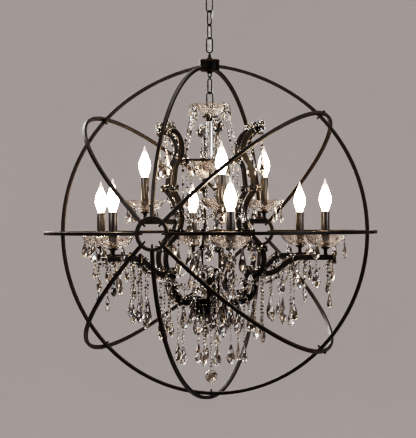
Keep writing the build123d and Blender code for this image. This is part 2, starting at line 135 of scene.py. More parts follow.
def lattice(grid, wrap=True, closed=False, marks=0.0):
    """Skin over a grid (along, round, 3). `wrap` joins the last point round to the first, and `closed` the
    last row to the first. Otherwise each end is closed by a row that shrinks to its own middle."""
    grid = np.asarray(grid, float)
    marks = np.broadcast_to(marks, grid.shape[:2])
    if not closed:
        ends = [np.broadcast_to(row.mean(0), row.shape)[None] for row in (grid[0], grid[-1])]
        grid = np.concatenate([ends[0], grid, ends[1]])
        marks = np.concatenate([marks[:1], marks, marks[-1:]])
    rows, sides = grid.shape[:2]
    near = np.arange(rows if closed else rows - 1)[:, None]
    left = np.arange(sides if wrap else sides - 1)[None, :]
    far, right = (near + 1) % rows, (left + 1) % sides
    quads = np.stack([near * sides + left, near * sides + right, far * sides + right, far * sides + left], -1)
    return Skin(grid.reshape(-1, 3), quads.reshape(-1, 4), marks.reshape(-1))


def skin_volume(points, quads):
    """Signed volume under a skin: the sum over its triangles of a dot b cross c, over six."""
    a, b, c, d = (points[quads[:, k]] for k in range(4))
    return float((a * np.cross(b, c)).sum() + (a * np.cross(c, d)).sum()) / 6


def weld(skin):
    """The skin as a shell: equal points merged, faces outwards, and quads that lost a corner as triangles."""
    keys = np.round(skin.points / weld_size).astype(np.int64)
    _, first, index = np.unique(keys, axis=0, return_index=True, return_inverse=True)
    points, quads = skin.points[first], index.reshape(-1)[skin.quads]
    if skin_volume(points - points.mean(0), quads) < 0:
        quads = quads[:, ::-1]
    same = quads == np.roll(quads, -1, axis=1)  # corner k equals corner k + 1
    thin = quads[same.sum(1) == 1]
    drop = np.argmax(same[same.sum(1) == 1], axis=1)
    keep = np.stack([(drop + k) % 4 for k in (1, 2, 3)], 1)
    return Shell(points, quads[~same.any(1)], np.take_along_axis(thin, keep, 1), skin.marks[first])


# %% Angles, places and copies
def round_angles(sides, shift=0.0):
    """Angles in radians that share out a full turn, each moved on by `shift` of a step."""
    return 2 * pi * (np.arange(sides) + shift) / sides


def ellipse(first, second, sides, shift=0.0):
    """Points round an ellipse: its first half axis times the cosine of the angle, plus its second times the
    sine. Rows of half axes give a row of ellipses."""
    a = round_angles(sides, shift)[:, None]
    first, second = np.asarray(first, float)[..., None, :], np.asarray(second, float)[..., None, :]
    return np.cos(a) * first + np.sin(a) * second


def turns_round(count, first=0.0):
    """Turns in degrees that share out a full turn, from the first on."""
    return first + np.arange(count) * 360 / count


def spot(turn, radius, z):
    """Point at a turn from the front, in degrees, at a radius and height."""
    return np.array((radius * sin(radians(turn)), -radius * cos(radians(turn)), z))


def across(turn):
    """Unit vector along which the turn from the front grows."""
    return np.array((cos(radians(turn)), sin(radians(turn)), 0.0))


def turn_matrix(turns):
    """One matrix for each turn about Z, in degrees."""
    a = np.radians(np.atleast_1d(turns).astype(float))
    zero, one = np.zeros_like(a), np.ones_like(a)
    rows = [np.cos(a), -np.sin(a), zero, np.sin(a), np.cos(a), zero, zero, zero, one]
    return np.stack(rows, -1).reshape(-1, 3, 3)


def repeated(shell, places, turns=0.0, sizes=1.0, marks=None):
    """Copies of a shell as one shell: each point is the copy's size times its turn matrix times the shell's
    point, plus the copy's place."""
    places = np.array(places, float).reshape(-1, 3)
    count, corners = len(places), len(shell.points)
    turns, sizes = np.broadcast_to(turns, count), np.broadcast_to(sizes, count)
    points = np.einsum("nij,vj->nvi", turn_matrix(turns), shell.points)
    points = points * sizes[:, None, None] + places[:, None]
    step = corners * np.arange(count)[:, None, None]
    faces = [(rows[None] + step).reshape(-1, rows.shape[1]) for rows in (shell.quads, shell.triangles)]
    marks = np.tile(shell.marks, count) if marks is None else np.repeat(marks, corners)
    return Shell(points.reshape(-1, 3), *faces, marks)


# %% From shells to an object
class Finish(NamedTuple):
    """A material, a slot's name, which is not used, and the angle in degrees over which an edge stays sharp.
    With an angle of 0 every face is flat."""
    material: bpy.types.Material
    slot: str
    smooth: float = 40


flat_pieces = 0


def make_piece(name, parts, finish, body, replaces=()):
    """One object from many skins or shells. Each face of a flat piece also gets a random number, for
    materials that differ by facet."""
    global flat_pieces
    material, slot, smooth = finish
    shells = [weld(part) if isinstance(part, Skin) else part for part in parts]
    points, marks = (np.concatenate([shell[k] for shell in shells]) for k in (0, 3))
    starts = np.cumsum([0] + [len(shell.points) for shell in shells])
    faces = [rows + start for shell, start in zip(shells, starts) for rows in (shell.quads, shell.triangles)]
    loops = np.concatenate([rows.reshape(-1) for rows in faces])
    sizes = np.concatenate([np.full(len(rows), rows.shape[1]) for rows in faces])
    mesh = bpy.data.meshes.new(name)
    mesh.vertices.add(len(points))
    mesh.vertices.foreach_set("co", (points * MM).astype(np.float32).reshape(-1))
    mesh.loops.add(len(loops))
    mesh.loops.foreach_set("vertex_index", loops.astype(np.int32))
    mesh.polygons.add(len(sizes))
    mesh.polygons.foreach_set("loop_start", (np.cumsum(sizes) - sizes).astype(np.int32))
    mesh.update(calc_edges=True)
    if smooth:
        mesh.shade_smooth()
        mesh.set_sharp_from_angle(angle=radians(smooth))
    else:
        mesh.shade_flat()
        flat_pieces += 1
        facets = np.random.default_rng(flat_pieces).random(len(sizes))
        mesh.attributes.new("facet", "FLOAT", "FACE").data.foreach_set("value", facets.astype(np.float32))
    mesh.attributes.new("mark", "FLOAT", "POINT").data.foreach_set("value", marks.astype(np.float32))
    mesh.materials.append(material)
    piece = bpy.data.objects.new(name, mesh)
    bpy.context.scene.collection.objects.link(piece)
    if body:
        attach(piece, body)
    if replaces:
        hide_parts(*replaces)
    print(f"{name}: {len(points)} points, {len(sizes)} faces")
    return piece


# %% [markdown]
# ## Bars, wires and turned pieces
# A bent bar is a section carried along a path that lies in one plane: straight runs joined by true arcs.
# `planar_path` follows such runs and arcs as a smith would bend them, and `bar_along` carries the section.
# A turned piece is a profile of radius and height, spun about Z.

# %% Paths
arc_step = 3.0  # degrees of bend between two rings of points


class Path(NamedTuple):
    """A line in a plane: its points, and its heading in degrees at each of them."""
    points: np.ndarray
    headings: np.ndarray


def unit(turn):
    """Unit vector at a turn in degrees, (cos, sin), with one row for each turn of an array."""
    a = np.radians(turn)
    return np.stack([np.cos(a), np.sin(a)], -1)


def square_to(turn):
    """Unit vector a quarter turn to the left of a turn in degrees, (-sin, cos)."""
    a = np.radians(turn)
    return np.stack([-np.sin(a), np.cos(a)], -1)


def planar_path(start, heading, moves, step=arc_step):
    """Path along moves of (radius, turn in degrees) or (length, 0). On an arc of radius r each point is the
    centre plus r times the unit vector that has turned with the heading."""
    at = np.array(start, float)
    points, headings = [at[None]], [np.array([float(heading)])]
    for size, turn in moves:
        if turn:
            count = max(2, int(np.ceil(abs(turn) / step)))
            side = 90 if turn > 0 else -90
            centre = at + size * unit(heading + side)
            headings.append(heading + np.linspace(0, turn, count + 1)[1:])
            points.append(centre + size * unit(headings[-1] - side))
        else:
            headings.append(np.array([float(heading)]))
            points.append(at + size * unit(headings[-1]))
        at, heading = points[-1][-1], heading + turn
    return Path(np.concatenate(points), np.concatenate(headings))


def closed_path(start, heading, moves, step=arc_step):
    """A path that comes back to its start, without the start's second copy."""
    path = planar_path(start, heading, moves, step)
    return Path(path.points[:-1], path.headings[:-1])


def beside(path, gap):
    """Points that lie a gap to the left of a path."""
    return path.points + gap * square_to(path.headings)


# %% Sections, bars and turned pieces
class Section(NamedTuple):
    """Outline of a bar: its points, and how far each corner is worn."""
    points: np.ndarray
    marks: np.ndarray


def rounded_section(width, depth, corner, steps=3):
    """Outline of a bar with rounded corners. Beside each corner a point on either flat keeps the flats flat
    and ends the wear."""
    signs = np.array(((1, 1), (-1, 1), (-1, -1), (1, -1)), float)
    turns = np.linspace(0, 90, steps)[None, :] + 90 * np.arange(4)[:, None]
    middles = signs * (np.array((width, depth)) / 2 - corner)
    arcs, ahead = middles[:, None] + corner * unit(turns), corner * square_to(turns)
    rows = np.concatenate([arcs[:, :1] - ahead[:, :1], arcs, arcs[:, -1:] + ahead[:, -1:]], 1)
    wear = np.concatenate([[0.0], np.full(steps, 1.0), [0.0]])
    return Section(rows.reshape(-1, 2), np.tile(wear, 4))


wire_wear = 0.25


def round_section(width, sides=12):
    """Outline of a round wire."""
    return Section(width / 2 * ellipse((1, 0), (0, 1), sides), np.full(sides, wire_wear))


def bar_along(path, section, origin, x_dir, y_dir, closed=False, swell=1.0):
    """Skin of a bar whose section is carried along a path in the plane of x_dir and y_dir. A point of the
    section, (in, out), goes `in` along the path's normal in that plane and `out` along the plane's own."""
    size = np.broadcast_to(swell, len(path.points))[:, None, None]
    normal = square_to(path.headings)[:, None]
    flat = path.points[:, None] + normal * section.points[None, :, :1] * size
    out = section.points[None, :, 1:] * size
    x_dir, y_dir = np.array(x_dir, float), np.array(y_dir, float)
    grid = flat[..., :1] * x_dir + flat[..., 1:] * y_dir + out * np.cross(x_dir, y_dir)
    return lattice(grid + np.array(origin, float), closed=closed, marks=section.marks[None, :])


worn_corner = 0.35  # sine of the turn past which a corner counts as sharp


def profile_wear(profile):
    """1 where a profile turns a sharp outward corner, and 0 elsewhere."""
    p = np.array(profile, float)
    step = np.diff(p, axis=0)
    step /= np.maximum(np.linalg.norm(step, axis=1), 1e-9)[:, None]
    turn = step[:-1, 0] * step[1:, 1] - step[:-1, 1] * step[1:, 0]
    return np.concatenate([[0.0], (turn > worn_corner).astype(float), [0.0]])


def turned(profile, sides=48, at=(0, 0, 0), closed=False):
    """Skin of a profile of (radius, height) points spun about Z. A closed profile is a wall with a hole."""
    radius, z = np.array(profile, float).T
    ring = ellipse((1, 0, 0), (0, 1, 0), sides)
    grid = radius[:, None, None] * ring + z[:, None, None] * Z_AXIS + np.array(at, float)
    return lattice(grid, closed=closed, marks=profile_wear(profile)[:, None])


def curve_through(points, per_span=6):
    """A smooth line through the points: on each span the cubic whose slope at a point is half the way
    between its two neighbours."""
    p = np.array(points, float)
    before = np.concatenate([2 * p[:1] - p[1:2], p[:-1]])
    after = np.concatenate([p[1:], 2 * p[-1:] - p[-2:-1]])
    slope = (after - before) / 2
    t = np.linspace(0, 1, per_span, endpoint=False)[None, :, None]
    a, b, m, n = p[:-1, None], p[1:, None], slope[:-1, None], slope[1:, None]
    line = (2 * t**3 - 3 * t**2 + 1) * a + (t**3 - 2 * t**2 + t) * m
    line = line + (3 * t**2 - 2 * t**3) * b + (t**3 - t**2) * n
    return np.concatenate([line.reshape(-1, p.shape[1]), p[-1:]])


def wire_through(points, width, side, sides=6):
    """Skin of a thin wire through points in space. Each ring lies across the line's own direction, and
    `side` is a direction that the line never takes."""
    points = np.array(points, float)
    along = np.gradient(points, axis=0)
    along /= np.linalg.norm(along, axis=1)[:, None]
    first = np.cross(along, np.array(side, float))
    first /= np.linalg.norm(first, axis=1)[:, None]
    return lattice(points[:, None] + width / 2 * ellipse(first, np.cross(along, first), sides))


# %% [markdown]
# ## Marks for the materials
# Paint rubs off where two faces meet, so the iron needs to know how near a corner each point is.
# The mark on the mesh holds it, worked out from the section, and each material reads it by name.
# The alternative, the Geometry node's pointiness, changes with the density of the mesh.
# Effects that several materials use are shader groups, built once and placed with their own values.

# %% Shader groups
def new_group(name, inputs, outputs):
    """A shader group with float inputs at their usual values, and its input and output node."""
    group = bpy.data.node_groups.new(name, "ShaderNodeTree")
    for label, value in inputs:
        group.interface.new_socket(label, in_out="INPUT", socket_type="NodeSocketFloat").default_value = value
    for label, kind in outputs:
        group.interface.new_socket(label, in_out="OUTPUT", socket_type=kind)
    return group, group.nodes.new("NodeGroupInput"), group.nodes.new("NodeGroupOutput")


def fill(tree, node, values):
    """The node with its inputs given as values, or as sockets to link from."""
    for key, value in values.items():
        if isinstance(value, bpy.types.NodeSocket):
            tree.links.new(value, node.inputs[key])
        else:
            node.inputs[key].default_value = value
    return node


def add_node(tree, kind, values=None, **settings):
    """A new node with its settings and its inputs."""
    node = tree.nodes.new(kind)
    for key, value in settings.items():
        setattr(node, key, value)
    return fill(tree, node, values or {})


def calculate(tree, operation, a, b, clamp=False):
    """Two values or sockets put together by one operation."""
    return add_node(tree, "ShaderNodeMath", {0: a, 1: b}, operation=operation, use_clamp=clamp).outputs[0]


def noise_at(tree, scale, **values):
    """A noise over the object's own coordinates."""
    where = add_node(tree, "ShaderNodeTexCoord").outputs["Object"]
    return add_node(tree, "ShaderNodeTexNoise", {"Vector": where, "Scale": scale, **values}).outputs["Fac"]


def cloud_group():
    """Cloudy variation at one scale: a noise whose contrast is raised, between 0 and 1."""
    group, given, result = new_group(
        "cloudy_variation", [("Scale", 20.0), ("Contrast", 2.0)], [("Mask", "NodeSocketFloat")]
    )
    centred = calculate(group, "SUBTRACT", noise_at(group, given.outputs["Scale"], Detail=4.0), 0.5)
    raised = calculate(group, "MULTIPLY", centred, given.outputs["Contrast"])
    fill(group, result, {"Mask": calculate(group, "ADD", raised, 0.5, clamp=True)})
    return group


def grain_group():
    """Fine bump: a noise at the given scale turned into a normal."""
    group, given, result = new_group(
        "fine_grain", [("Scale", 400.0), ("Depth", 0.0002)], [("Normal", "NodeSocketVector")]
    )
    height = noise_at(group, given.outputs["Scale"])
    bump = add_node(group, "ShaderNodeBump", {"Height": height, "Distance": given.outputs["Depth"]})
    fill(group, result, {"Normal": bump.outputs["Normal"]})
    return group


cloudy = cloud_group()
grain = grain_group()

# %% Helpers for materials
def new_material(name):
    """A material with an empty tree but for its Principled shader and output."""
    material = bpy.data.materials.new(name)
    material.use_nodes = True
    print("material:", name)
    return material, material.node_tree, material.node_tree.nodes["Principled BSDF"]


def use_group(tree, group, *values):
    """The output of a shader group that is placed in a material with its own values."""
    return add_node(tree, "ShaderNodeGroup", dict(enumerate(values)), node_tree=group).outputs[0]


def mix_colour(tree, factor, a, b):
    """A mix of two colours, or sockets, by a factor socket."""
    ends = [v if isinstance(v, bpy.types.NodeSocket) else (*v, 1.0) for v in (a, b)]
    mix = add_node(tree, "ShaderNodeMix", {"Factor": factor, 6: ends[0], 7: ends[1]}, data_type="RGBA")
    return mix.outputs[2]


def ramp(tree, value, to, over=(0.0, 1.0)):
    """The value's range `over` mapped to the range `to`, and held at its ends."""
    values = {"Value": value, "From Min": over[0], "From Max": over[1], "To Min": to[0], "To Max": to[1]}
    return add_node(tree, "ShaderNodeMapRange", values).outputs["Result"]


def read(tree, label):
    """The mark or facet number that the mesh carries."""
    return add_node(tree, "ShaderNodeAttribute", attribute_name=label).outputs["Fac"]


def mottled_material(name, low, high, rough, clouds, skin=None, **values):
    """A material whose colour runs between two in cloudy patches, and its roughness too where two are given.
    `clouds` holds the patches' scale and contrast, and `skin` the scale and depth of a fine grain."""
    material, tree, shader = new_material(name)
    patches = use_group(tree, cloudy, *clouds)
    fill(tree, shader, {"Base Color": mix_colour(tree, patches, low, high)})
    fill(tree, shader, {"Roughness": ramp(tree, patches, rough) if isinstance(rough, tuple) else rough})
    if skin:
        fill(tree, shader, {"Normal": use_group(tree, grain, *skin)})
    fill(tree, shader, {key.replace("_", " "): value for key, value in values.items()})
    return material


# %% [markdown]
# ## The iron's dark bronze paint
# The cage and the scrolls are mild steel under a dark brown, almost black paint, satin and slightly uneven.
# Where a hand or a cloth has gone over the corners, a warmer brown shows through, in patches and not as a
# line, so the wear mark is multiplied by a noise before it mixes the two colours.

# %% Dark bronze iron
def iron(name, dark, warm, rough):
    """Dark paint in two near tones, with a warmer one where the corners are worn."""
    material, tree, shader = new_material(name)
    patches = use_group(tree, cloudy, 26.0, 2.4)
    worn = calculate(tree, "MULTIPLY", read(tree, "mark"), use_group(tree, cloudy, 150.0, 3.0))
    tone = mix_colour(tree, patches, dark, tuple(1.5 * v + 0.0015 for v in dark))
    fill(tree, shader, {
        "Base Color": mix_colour(tree, worn, tone, warm),
        "Roughness": ramp(tree, patches, rough),
        "Normal": use_group(tree, grain, 520.0, 0.00015),
        "Specular IOR Level": 0.15,
    })
    return Finish(material, "bronze_iron")


bronze_iron = iron("dark_bronze_iron", (0.0036, 0.0028, 0.0025), (0.050, 0.027, 0.016), (0.36, 0.52))
black_iron = iron("black_iron", (0.004, 0.0036, 0.0036), (0.03, 0.019, 0.013), (0.14, 0.26))

# %% [markdown]
# ## Zinc, bright tube and plastics
# The ceiling bracket and nipple are plain zinc-plated steel, dull and faintly mottled.
# The column is a bright plated tube. The candle sleeves are dark brown plastic with a satin skin, the
# lampholders a lighter heat-proof plastic, and the cord has a clear grey sheath.

# %% Plain metals and plastics
def metal(name, slot, low, high, rough, scale):
    """Bare metal, mottled at the given scale."""
    material = mottled_material(name, low, high, rough, (scale, 2.6), Metallic=1.0)
    return Finish(material, slot)


def plastic(name, slot, low, high, rough, clear=0.0):
    """Moulded plastic with a fine skin. `clear` is the share of light that goes through it."""
    clouds, skin = (34.0, 2.0), (700.0, 0.00006)
    material = mottled_material(name, low, high, rough, clouds, skin, Transmission_Weight=clear)
    return Finish(material, slot)


zinc = metal("zinc_plate", "zinc_steel", (0.38, 0.39, 0.40), (0.60, 0.61, 0.60), (0.34, 0.5), 90.0)
bright = metal("bright_plate", "bright_tube", (0.60, 0.59, 0.58), (0.78, 0.77, 0.75), (0.07, 0.16), 60.0)
sleeve_plastic = plastic(
    "brown_sleeve", "candle_plastic", (0.013, 0.009, 0.007), (0.024, 0.016, 0.012), (0.26, 0.38)
)
holder_plastic = plastic(
    "holder_plastic", "holder_plastic", (0.10, 0.075, 0.05), (0.16, 0.12, 0.085), (0.45, 0.6)
)
cord_plastic = plastic(
    "clear_cord", "cord_plastic", (0.50, 0.50, 0.48), (0.62, 0.62, 0.60), (0.25, 0.35), clear=0.35
)

# %% [markdown]
# ## Glass
# The dishes are pressed glass: clear and a little warm, with soft ripples left by the mould.
# The drops and beads are cut crystal: perfectly smooth, so their facets are real faces and not a bump.
# A cut stone shows dark and bright facets side by side, some of them bluish or gold. Here these are painted:
# each facet's random number tints what the glass lets through with painted shade or a painted bluish or gold
# glint, and each stone's mark makes a few stones smoky all over.

# %% Glass materials
pressed_glass = Finish(mottled_material(
    "pressed_glass", (1.0, 0.94, 0.86), (0.93, 0.84, 0.74), (0.01, 0.06), (40.0, 1.6), (130.0, 0.0007),
    Transmission_Weight=1.0, IOR=1.5,
), "pressed_glass")


def crystal_material():
    """Clear glass in stones that are clear or smoky, whose facets are plain or tinted with painted shade,
    painted bluish glints or painted gold glints.
    """
    material, tree, shader = new_material("cut_crystal")
    smoky = ramp(tree, read(tree, "mark"), (0.0, 1.0), over=(0.80, 0.84))
    # Painted light and shade: dark facets are painted shade, bluish facets painted glints, and gold facets
    # painted warm glints of the lamps.
    painted_shade_facets = ramp(tree, read(tree, "facet"), (0.0, 1.0), over=(0.54, 0.60))
    painted_blue_glints = ramp(tree, read(tree, "facet"), (1.0, 0.0), over=(0.08, 0.11))
    painted_gold_glints = ramp(tree, read(tree, "facet"), (1.0, 0.0), over=(0.30, 0.34))
    tone = mix_colour(tree, painted_gold_glints, (1.0, 0.965, 0.91), (1.0, 0.86, 0.62))
    tone = mix_colour(tree, painted_blue_glints, tone, (0.62, 0.74, 0.98))
    tone = mix_colour(tree, painted_shade_facets, tone, (0.10, 0.078, 0.06))
    fill(tree, shader, {
        "Base Color": mix_colour(tree, smoky, tone, (0.055, 0.042, 0.032)),
        "Roughness": ramp(tree, use_group(tree, cloudy, 60.0, 1.5), (0.0, 0.02)),
        "Transmission Weight": 1.0,
        "IOR": 1.6,
    })
    return material


crystal = Finish(crystal_material(), "crystal", smooth=0)

# %% [markdown]
# ## The lamps' glow
# A lit flame lamp is far brighter at its middle than at its neck and tip, where it turns amber.
# The strength stays on the shader's own socket, and only the colour changes along the lamp.

# %% Lamp glass
def lamp_material():
    """Glass that glows where its mark is high."""
    material, tree, shader = new_material("lit_lamp_glass")
    fill(tree, shader, {
        "Emission Color": mix_colour(tree, read(tree, "mark"), (0.0045, 0.0028, 0.0013), (1.0, 0.76, 0.47)),
        "Emission Strength": 90.0,
        "Base Color": (1.0, 0.96, 0.9, 1.0),
        "Roughness": 0.15,
    })
    return material


lamp_glass = Finish(lamp_material(), "lamp_glass")

# %% [markdown]
# ## The cage
# One inner ring runs from the hub all the way round, flattened towards the hub. Nine outer bars run from
# the front ring to the back ring. Each is a square bar with slightly rounded corners, and an arc in space
# is only an arc in its own plane, so each bar is drawn flat and stood in that plane.

# %% The cage's sizes
bar_width = 10
bar_corner = 1.1
main_radius = 482.5
shoulder_angle = 35
shoulder_radius = 610
hub_radius = 30
outer_radius = 493.4
hub_ring_radius = 44
sink = 8  # how far a bar's end runs into the hub
orb_centre = np.array((0, 0, orb_z))
hub_line = spot(-orb_turn, 1, 0)  # from the orb's middle to the front hub ring
ring_line = across(-orb_turn)
bar_section = rounded_section(bar_width, bar_width, bar_corner)

# %% Inner ring
shoulder_x, shoulder_y = (main_radius - shoulder_radius) * unit(90 - shoulder_angle)
low_angle = 90 - shoulder_angle
high_angle = degrees(acos((hub_radius - sink - shoulder_x) / shoulder_radius))
ring_start = (shoulder_x, shoulder_y) + shoulder_radius * unit(high_angle)
shoulder = (shoulder_radius, low_angle - high_angle)
ring_moves = [shoulder, (main_radius, -180 - 2 * low_angle), shoulder]
ring_path = planar_path(ring_start, high_angle - 90, ring_moves)
inner_ring = bar_along(ring_path, bar_section, orb_centre, ring_line, Z_AXIS)
make_piece("cage_inner_ring", [inner_ring], bronze_iron, "orb", replaces=["main_ring"])

# %% Outer bars
ring_reach = hub_ring_radius + bar_width / 2
ring_clear = degrees(asin(ring_reach / outer_radius))
hub_clear = degrees(acos((hub_radius - sink) / outer_radius))


def cage_direction(tilt):
    """Unit vector that a tilt from straight up, about the line through the two hub rings, points to."""
    return Z_AXIS * cos(radians(tilt)) + ring_line * sin(radians(tilt))


whole = (ring_clear, 180 - ring_clear)
outer_bars = {  # tilt, and the angles along the bar's own arc where it starts and ends
    "bar_front_top": (0, ring_clear, hub_clear),
    "bar_back_top": (0, 180 - hub_clear, 180 - ring_clear),
    "bar_bottom": (180, *whole),
    "bar_right": (90, *whole),
    "bar_left": (-90, *whole),
    "bar_upper_right": (45, *whole),
    "bar_upper_left": (-45, *whole),
    "bar_lower_right": (135, *whole),
    "bar_lower_left": (-135, *whole),
}
for node, (tilt, start, end) in outer_bars.items():
    path = planar_path(outer_radius * unit(start), start + 90, [(outer_radius, end - start)])
    bar = bar_along(path, bar_section, orb_centre, hub_line, cage_direction(tilt))
    make_piece("cage_" + node, [bar], bronze_iron, "orb", replaces=[node])

# %% [markdown]
# ## Hub rings and bolts
# The outer bars end on a small ring at the front and one at the back, and a bolt goes through the ring at
# each end. Where the inner ring passes an outer bar, a longer bolt ties the two.
# Bolts are small, so each is one turned shape with a domed head, laid along its own direction.

# %% Hub rings
ring_distance = sqrt(outer_radius**2 - ring_reach**2)
circle = closed_path((hub_ring_radius, 0), 90, [(hub_ring_radius, 360)], step=7.5)
ring_middles = [orb_centre + side * ring_distance * hub_line for side in (1, -1)]
hub_rings = [bar_along(circle, bar_section, place, ring_line, Z_AXIS, closed=True) for place in ring_middles]
make_piece("cage_hub_rings", hub_rings, bronze_iron, "orb", replaces=["hub_rings"])

# %% Bolts
head_worn, shank_worn = 0.6, 0.1
head_height, head_bevel = 3.2, 1.2


def bolt(middle, tilt, near, far, width, head=1.5):
    """A bolt along a tilt, from near to far of a middle: rings of its half width times the profile, square to
    its own direction."""
    along, length = cage_direction(tilt), far - near
    first = np.cross(along, hub_line)
    neck, brim = length - head_height, length - head_bevel
    share, reach = np.array((
        (0.55, 0), (0.9, 0.5), (1, 1.2), (1, neck), (head, neck), (head, brim), (0.7 * head, length),
    )).T[:, :, None, None]
    grid = width / 2 * share * ellipse(first, np.cross(along, first), 12) + (near + reach) * along
    return lattice(middle + grid, marks=np.where(share[:, :, 0] > 1, head_worn, shank_worn))


ring_inside, bar_outside = hub_ring_radius - bar_width / 2, outer_radius + bar_width / 2
hub_bolt = (28, ring_inside + 2, 6, 1.0)  # start, end, width, and the head's share of the width
hub_bolts = [bolt(place, tilt, *hub_bolt) for place in ring_middles for tilt in range(0, 360, 45)]
cross_start, cross_width, cross_head = 470, 5.5, 5  # the head stands out, but for the one at the orb's foot
cross_bolts = [
    bolt(orb_centre, tilt, cross_start, bar_outside + (0 if tilt == 180 else cross_head), cross_width)
    for tilt in range(45, 360, 45)
]
make_piece("cage_bolts", hub_bolts + cross_bolts, bronze_iron, "orb")

# %% [markdown]
# ## Hub, canopy, bracket and chain
# The hub is a turned cup with a lip. The canopy is a spun steel cup that hides the bracket and the wiring.
# The chain is round wire bent into ovals, with the lump of the weld on one leg, and an eye is a hexagonal
# collar with a loop of thicker wire.

# %% Hub and canopy
hub_low, hub_high = foot_of("top_hub"), top_of("top_hub")
hub_profile = [
    (0, hub_low), (24.5, hub_low), (26, hub_low + 0.8), (28.8, hub_low + 3.6), (29.2, hub_low + 5),
    (29.2, hub_high - 6.5), (29.5, hub_high - 5.8), (30, hub_high - 5), (30, hub_high - 1),
    (29.2, hub_high), (0, hub_high),
]
make_piece("orb_hub", [turned(hub_profile, 64)], bronze_iron, "orb", replaces=["top_hub"])

canopy_low, canopy_high = foot_of("canopy"), top_of("canopy")
canopy_wall = 1.5
canopy_hole = 5.2
canopy_edge = 62.5
canopy_side = curve_through(
    [(30, 0), (37, 2.2), (46, 9), (52.5, 20), (58.5, 31), (canopy_edge, canopy_high - canopy_low - 3)]
) + (0, canopy_low)
canopy_profile = np.concatenate([
    [(canopy_hole, canopy_low)], canopy_side, [(canopy_edge, canopy_high)],
    [(canopy_edge - canopy_wall, canopy_high)], (canopy_side - (canopy_wall, -canopy_wall))[::-1],
    [(canopy_hole, canopy_low + canopy_wall)],
])
canopy = turned(canopy_profile, 96, closed=True)
make_piece("ceiling_canopy", [canopy], bronze_iron, "root", replaces=["canopy"])

# %% Nipple and bracket
nipple_low, nipple_high = foot_of("nipple"), top_of("nipple")
thread_pitch = 1.0
crest_radius, root_radius, end_radius, bore_radius = 5.0, 4.5, 4.3, 3.4
thread_z = np.arange(nipple_low + 0.5, nipple_high - 0.4, thread_pitch / 2)
thread = np.stack([np.where(np.arange(len(thread_z)) % 2, crest_radius, root_radius), thread_z], 1)
nipple_profile = np.concatenate([
    [(end_radius, nipple_low)], thread,
    [(end_radius, nipple_high), (bore_radius, nipple_high), (bore_radius, nipple_low)],
])
make_piece("threaded_nipple", [turned(nipple_profile, 32, closed=True)], zinc, "root", replaces=["nipple"])
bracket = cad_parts["ceiling_bracket"]
bracket.data.materials.clear()
bracket.data.materials.append(zinc.material)

# %% Chain links
link_length, link_width, link_wire = 49, 22.5, 4
wire_play = 0.1  # the wire is this much thinner than the frame's, so that links don't cut each other
weld_reach, weld_swell = 3.2, 0.28
link_nodes = {  # turn of the link's plane, and the body that it is
    "upper_link_1": (12, "link_1"),
    "upper_link_2": (-55, "link_2"),
    "upper_link_3": (57, "link_3"),
    "upper_link_4": (-10, "link_4"),
    "lower_link_1": (-53, "link_5"),
    "lower_link_2": (14, "link_6"),
}


def link_skin(top, turn):
    """An oval of round wire: two half turns and two legs, with a weld that swells one leg by a bell curve."""
    radius = (link_width - link_wire) / 2
    leg = link_length - link_wire - 2 * radius
    legs = [(leg / 8, 0)] * 8
    path = closed_path((-radius, leg / 2), 270, [*legs, (radius, 180), *legs, (radius, 180)], step=12)
    x, z = path.points.T
    swell = 1 + weld_swell * np.exp(-((z / weld_reach) ** 2)) * (x < 0)
    middle, wire = (0, 0, top - link_length / 2), round_section(link_wire - wire_play)
    return bar_along(path, wire, middle, across(turn), Z_AXIS, closed=True, swell=swell)


for node, (turn, body) in link_nodes.items():
    make_piece(node + "_wire", [link_skin(top_of(node), turn)], bronze_iron, body, replaces=[node])

# %% Eyes
eye_wire, eye_radius, eye_reach, collar_size, collar_height = 4.5, 7.5, 19.4, 16, 6
collar_edge = 0.8
eye_root = 1  # how far the loop's legs run into the collar
eye_nodes = {  # turn of the loop's plane, the body it rides on, and 1 where it stands up or -1 where it hangs
    "canopy_eye": (-80, "root", -1),
    "hub_top_eye": (75, "orb", 1),
    "hub_bottom_eye": (53, "orb", -1),
    "crown_eye": (80, "chandelier", 1),
}


def eye_skins(face_z, turn, up):
    """The collar's hexagon with its corners taken off, and a loop that springs from its face."""
    half, high = collar_size / 2, collar_height
    levels = (
        (0, 0), (half - collar_edge, 0), (half, collar_edge), (half, high - collar_edge),
        (half - collar_edge, high), (0, high),
    )
    collar = turned([(r, up * z) for r, z in levels], sides=6, at=(0, 0, face_z))
    leg = eye_reach - collar_height - eye_radius - eye_wire / 2 + eye_root
    path = planar_path((eye_radius, -eye_root), 90, [(leg, 0), (eye_radius, 180), (leg, 0)], step=10)
    foot, wire = (0, 0, face_z + up * collar_height), round_section(eye_wire - wire_play)
    return [collar, bar_along(path, wire, foot, across(turn), Z_AXIS * up)]


for node, (turn, body, up) in eye_nodes.items():
    face_z = foot_of(node) if up > 0 else top_of(node)
    make_piece(node + "_iron", eye_skins(face_z, turn, up), bronze_iron, body, replaces=[node])

# %% [markdown]
# ## Scroll frames, spider and arms
# Six frames of flat bar on edge stand round the axis. Each is three bars: the upper scroll, the long lower
# scroll that laps over it, and the foot that curls back to the tube. The arms that carry the candles
# are the same flat bar, bent into a shallow S.

